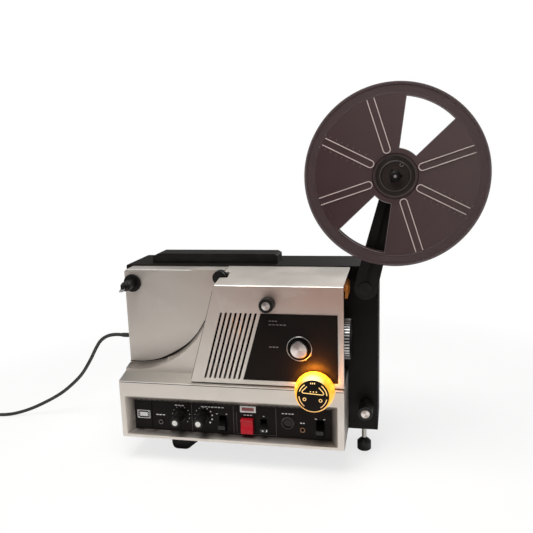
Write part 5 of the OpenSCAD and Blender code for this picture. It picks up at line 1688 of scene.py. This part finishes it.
@dataclass
class Lead:
    """Mains lead: its relief, the free run, the put-away coil and its tie."""

    bench: Bench
    diameter: float = 5.0
    fineness: int = 5
    stand: float = 33.0
    run_parts: int = 6
    coil_at: Pair = (-300, 60)
    coil_r: float = 38.0
    turns: float = 2.75
    climb: float = 0.5
    layer: float = 5.5
    step: float = 6.5
    tail: float = 30.0
    rings: int = 48
    relief_ribs: int = 6
    relief_r: Pair = (4.4, 3.0)
    relief_groove: float = 0.45
    relief_flat: float = 0.9
    relief_plain: float = 0.9
    relief_fineness: int = 6
    tie_reach: Pair = (38.2, 18.4)
    tie_top: float = 10.9
    tie_t: float = 0.8
    tie_w: float = 7.0
    tie_soft: float = 0.2

    def lie(self) -> float:
        """Height of the lead's middle where it lies on the table."""
        return self.diameter / 2 - self.stand

    def run(self) -> list[Point]:
        """Points of the free run, in machine millimetres.

        Returns:
            The places that it passes.
        """
        lie = self.lie()
        return [(-38, 100, 104), (-50, 100, 104), (-64, 103, 100), (-77, 107, 91), (-88, 111, 77),
                (-100, 114, 58), (-118, 118, 34), (-138, 119, 15), (-158, 118, 0), (-182, 114, -13),
                (-206, 108, -23), (-230, 102, -29), (-252, 98.5, lie), (-276, 98, lie), (-290, 98, lie),
                (self.coil_at[0], self.coil_at[1] + self.coil_r, lie)]

    def smooth(self, points: list[Point]) -> list[Vector]:
        """Points along a smooth curve through the given points.

        Args:
            points: places to pass.
        Returns:
            The finer row of points.
        """
        rows = [Vector(p) for p in points]
        out = []
        for i in range(len(rows) - 1):
            a, b, c, d = rows[max(i - 1, 0)], rows[i], rows[i + 1], rows[min(i + 2, len(rows) - 1)]
            for j in range(self.run_parts):
                t = j / self.run_parts
                out.append(0.5 * (2 * b + (c - a) * t + (2 * a - 5 * b + 4 * c - d) * t ** 2
                                  + (3 * b - a - 3 * c + d) * t ** 3))
        return out + [rows[-1]]

    def coil(self) -> list[Vector]:
        """Points of the two-layer coil and its straight tail.

        Returns:
            The places along it, in machine millimetres.
        """
        total = 2 * self.turns + self.climb
        inner = self.coil_r - self.step * self.turns
        out = []
        for i in range(1, int(total * self.rings) + 1):
            t = i / self.rings
            if t < self.turns:
                radius, rise = self.coil_r - self.step * t, 0.0
            elif t < self.turns + self.climb:
                radius, rise = inner, self.layer * (t - self.turns) / self.climb
            else:
                radius, rise = self.coil_r - self.step * (total - t), self.layer
            angle = math.radians(90 + 360 * t)
            out.append(Vector((self.coil_at[0] + radius * math.cos(angle),
                               self.coil_at[1] + radius * math.sin(angle), self.lie() + rise)))
        end = out[-1]
        return out + [end + Vector((-self.tail / 2, 0, 0)), end + Vector((-self.tail, 0, 0))]

    def relief(self) -> None:
        """Adds the slim tapered relief with ribs, where the lead leaves the casing."""
        low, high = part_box("strain_relief")
        middle = (low + high) / 2
        count = 2 * self.relief_ribs
        points, radii = [], []
        for i in range(count + 1):
            share = i / count
            radius = self.relief_r[0] + (self.relief_r[1] - self.relief_r[0]) * share
            radius -= self.relief_groove * (i % 2) * (share < self.relief_plain)
            for along in (i, i + self.relief_flat):
                x = high[0] + (low[0] - high[0]) * min(1.0, along / (count + self.relief_flat))
                points.append(Vector((x, middle[1], middle[2])))
                radii.append(radius)
        tube = self.bench.tube("relief", points, 2.0, self.relief_fineness, tuple(radii))
        piece = self.bench.smooth(self.bench.meshed(tube), angle=30)
        self.bench.finish(piece, "ribbed_relief", Coat.RUBBER, Body.CHASSIS, Slot.RUBBER, ("strain_relief",))

    def tie(self) -> bpy.types.Object:
        """Strap over the coil's front, down to the table on either side.

        Returns:
            The finished tie.
        """
        b = self.bench
        x, y = self.coil_at
        outer, inner = self.tie_reach
        side = (self.tie_w, self.tie_t, self.tie_top)
        sides = [b.bar(at(x, y - reach, self.tie_top / 2 - self.stand), side, self.tie_soft)
                 for reach in self.tie_reach]
        top = b.bar(at(x, y - (outer + inner) / 2, self.tie_top + self.tie_t / 2 - self.stand),
                    (self.tie_w, outer - inner + self.tie_t, self.tie_t), self.tie_soft)
        return b.finish(b.join(sides + [top]), "coil_tie", Coat.PLASTIC, Body.CHASSIS, Slot.CORD)

    def build(self, plug: bpy.types.Object) -> None:
        """Makes the lead as one curve, with its relief and tie.

        Args:
            plug: not used.
        """
        self.relief()
        points = [at(*p) for p in self.smooth(self.run()) + self.coil()]
        lead = self.bench.tube("mains_lead", points, self.diameter, self.fineness)
        self.bench.finish(lead, "mains_lead", Coat.RUBBER, Body.CHASSIS, Slot.CORD, ("cord_run", "cord_coil"))
        self.tie()


@dataclass(frozen=True)
class Lamp:
    """Soft square lamp, placed and aimed in row metres."""

    name: str
    place: Point
    aim: Point
    size: float
    watts: float
    colour: Colour

    def hang(self) -> None:
        """Adds the lamp."""
        bpy.ops.object.light_add(type="AREA", location=self.place)
        made = bpy.context.object
        made.name = self.name
        made.data.size = self.size
        made.data.energy = self.watts
        made.data.color = self.colour
        made.rotation_euler = (Vector(self.aim) - Vector(self.place)).to_track_quat("-Z", "Y").to_euler()


@dataclass
class Studio:
    """Camera, lamps, the dial's glow, pale floor and background."""

    eye: Point = (343.3, -690.6, 362.4)
    azimuth: float = 12.0
    elevation: float = 11.0
    roll: float = -1.83
    focal_px: float = 620.0
    image_px: float = 533.0
    sensor: float = 36.0
    lamps: tuple[Lamp, ...] = (
        Lamp("over_front", (-0.15, -0.40, 1.25), aim=(-0.05, -0.12, 0), size=0.7, watts=14.5,
             colour=(1.0, 0.99, 0.97)),
        Lamp("side", (-1.2, -0.5, 0.6), aim=(0, 0, 0.12), size=0.6, watts=3, colour=(1.0, 0.98, 0.96)),
        Lamp("behind", (0.4, 0.9, 0.9), aim=(0, 0, 0.2), size=0.6, watts=4, colour=WHITE))
    glow_at: tuple[Pair, ...] = (
        (18, 0.006), (40, 0.01), (60, 0.024), (76, 0.05), (90, 0.07), (104, 0.05), (120, 0.024), (140, 0.01),
        (162, 0.006))
    glow_out: float = 0.002
    glow_y: float = -3.0
    glow_size: float = 0.0055
    glow_colour: Colour = (1.0, 0.31, 0.025)
    floor_size: float = 12
    floor_near: tuple[Colour, Colour] = ((0.86, 0.86, 0.86), (0.9, 0.9, 0.9))
    floor_far: tuple[Colour, Colour] = ((0.30, 0.26, 0.25), (0.34, 0.30, 0.29))
    floor_clouds: float = 0.8
    floor_fade: Pair = (0.35, 0.8)
    white_from: Pair = (0.25, 0.7)
    white_share: Pair = (0.74, 1.0)
    horizon: Colour = (0.055, 0.045, 0.045)
    zenith: Colour = (0.34, 0.34, 0.34)
    zenith_from: float = 0.9

    def camera(self) -> None:
        """Sets the camera at the photograph's view."""
        az, el, roll = (math.radians(v) for v in (self.azimuth, self.elevation, self.roll))
        back = Vector((math.sin(az) * math.cos(el), -math.cos(az) * math.cos(el), math.sin(el)))
        right = (-back).cross(Vector((0, 0, 1))).normalized()
        up = right.cross(-back)
        across = math.cos(roll) * right + math.sin(roll) * up
        above = -math.sin(roll) * right + math.cos(roll) * up
        turn = Matrix((across, above, back)).transposed().to_4x4()
        bpy.ops.object.camera_add()
        eye = bpy.context.object
        eye.name = "photo_camera"
        eye.matrix_world = Matrix.Translation(at(*self.eye)) @ turn
        eye.data.sensor_width = self.sensor
        eye.data.lens = self.sensor * self.focal_px / self.image_px
        bpy.context.scene.camera = eye

    def dial_glow(self) -> None:
        """Adds the small orange lights that the lit knob throws on the cover and the base."""
        low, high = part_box("mode_ring")
        middle = (low + high) / 2
        radius = (high[2] - low[2]) / 2 + self.glow_out
        for number, (turn, watts) in enumerate(self.glow_at):
            angle = math.radians(turn)
            place = (middle[0] + radius * math.cos(angle), at(0, self.glow_y, 0)[1],
                     middle[2] + radius * math.sin(angle))
            bpy.ops.object.light_add(type="POINT", location=place)
            made = bpy.context.object
            made.name = f"dial_glow_{number}"
            made.data.energy = watts
            made.data.color = self.glow_colour
            made.data.shadow_soft_size = self.glow_size

    def floor(self, bench: Bench) -> None:
        """Lays the pale floor.

        Args:
            bench: where the plane is made.
        """
        bench.clear()
        bpy.ops.mesh.primitive_plane_add(size=1, location=(0, 0, 0))
        plane = bpy.context.object
        plane.name = "pale_floor"
        plane.scale = (self.floor_size, self.floor_size, 1)
        bench.settle(plane)
        g = Graph("pale_floor")
        g.tree.nodes.remove(g.shader)
        soft, away = g.noise(self.floor_clouds, 2), g.reach("XY", (0, 0, 0))
        near, far = g.mix(soft, *self.floor_near), g.mix(soft, *self.floor_far)
        tone = g.mix(g.level(away, *self.floor_fade), near, far)
        white = g.level(away, *self.white_from, self.white_share)
        seen = g.out("ShaderNodeLightPath", "Is Camera Ray") * white
        g.blend(seen, g.out("ShaderNodeBsdfDiffuse", Color=tone),
                g.out("ShaderNodeEmission", Color=WHITE, Strength=1.0))
        plane.data.materials.append(g.material)

    def sky(self) -> None:
        """Gives the world a white background and a soft light that comes from above."""
        g = Graph("studio_white", True)
        bpy.context.scene.world = g.material
        height = g.level(g.part(g.out("ShaderNodeTexCoord", "Generated"), "Z"), 0.0, self.zenith_from)
        g.dress(Color=g.mix(height, self.horizon, self.zenith), Strength=1.0)
        white = g.out("ShaderNodeBackground", Color=WHITE, Strength=1.0)
        direct = g.out("ShaderNodeLightPath", "Is Camera Ray")
        through = g.out("ShaderNodeLightPath", "Is Transmission Ray")
        g.blend(direct.larger(through), Signal(g, g.shader.outputs[0]), white)

    def build(self, bench: Bench) -> None:
        """Sets up the studio round the camera.

        Args:
            bench: where the floor is made.
        """
        bpy.context.scene.view_settings.view_transform = "Standard"
        self.floor(bench)
        self.sky()
        self.dial_glow()
        for lamp in self.lamps:
            lamp.hang()


def main() -> None:
    """Builds the dressed projector in order."""
    logging.basicConfig(level=logging.INFO)
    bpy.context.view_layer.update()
    studio = Studio()
    studio.camera()
    bench = Bench(Paints())
    shells = Casings(bench).build()
    Lead(bench).build(shells["plug"])
    for part in (ControlPanel, Caps, FilmSlot, CoverShadeLine, SpindleCatch, DeckEdgeLine, EdgeHighlights, FasciaMarks,
                 ModeDial, ReelDetails):
        part(bench).build()
    studio.build(bench)


if __name__ == "__main__":
    main()
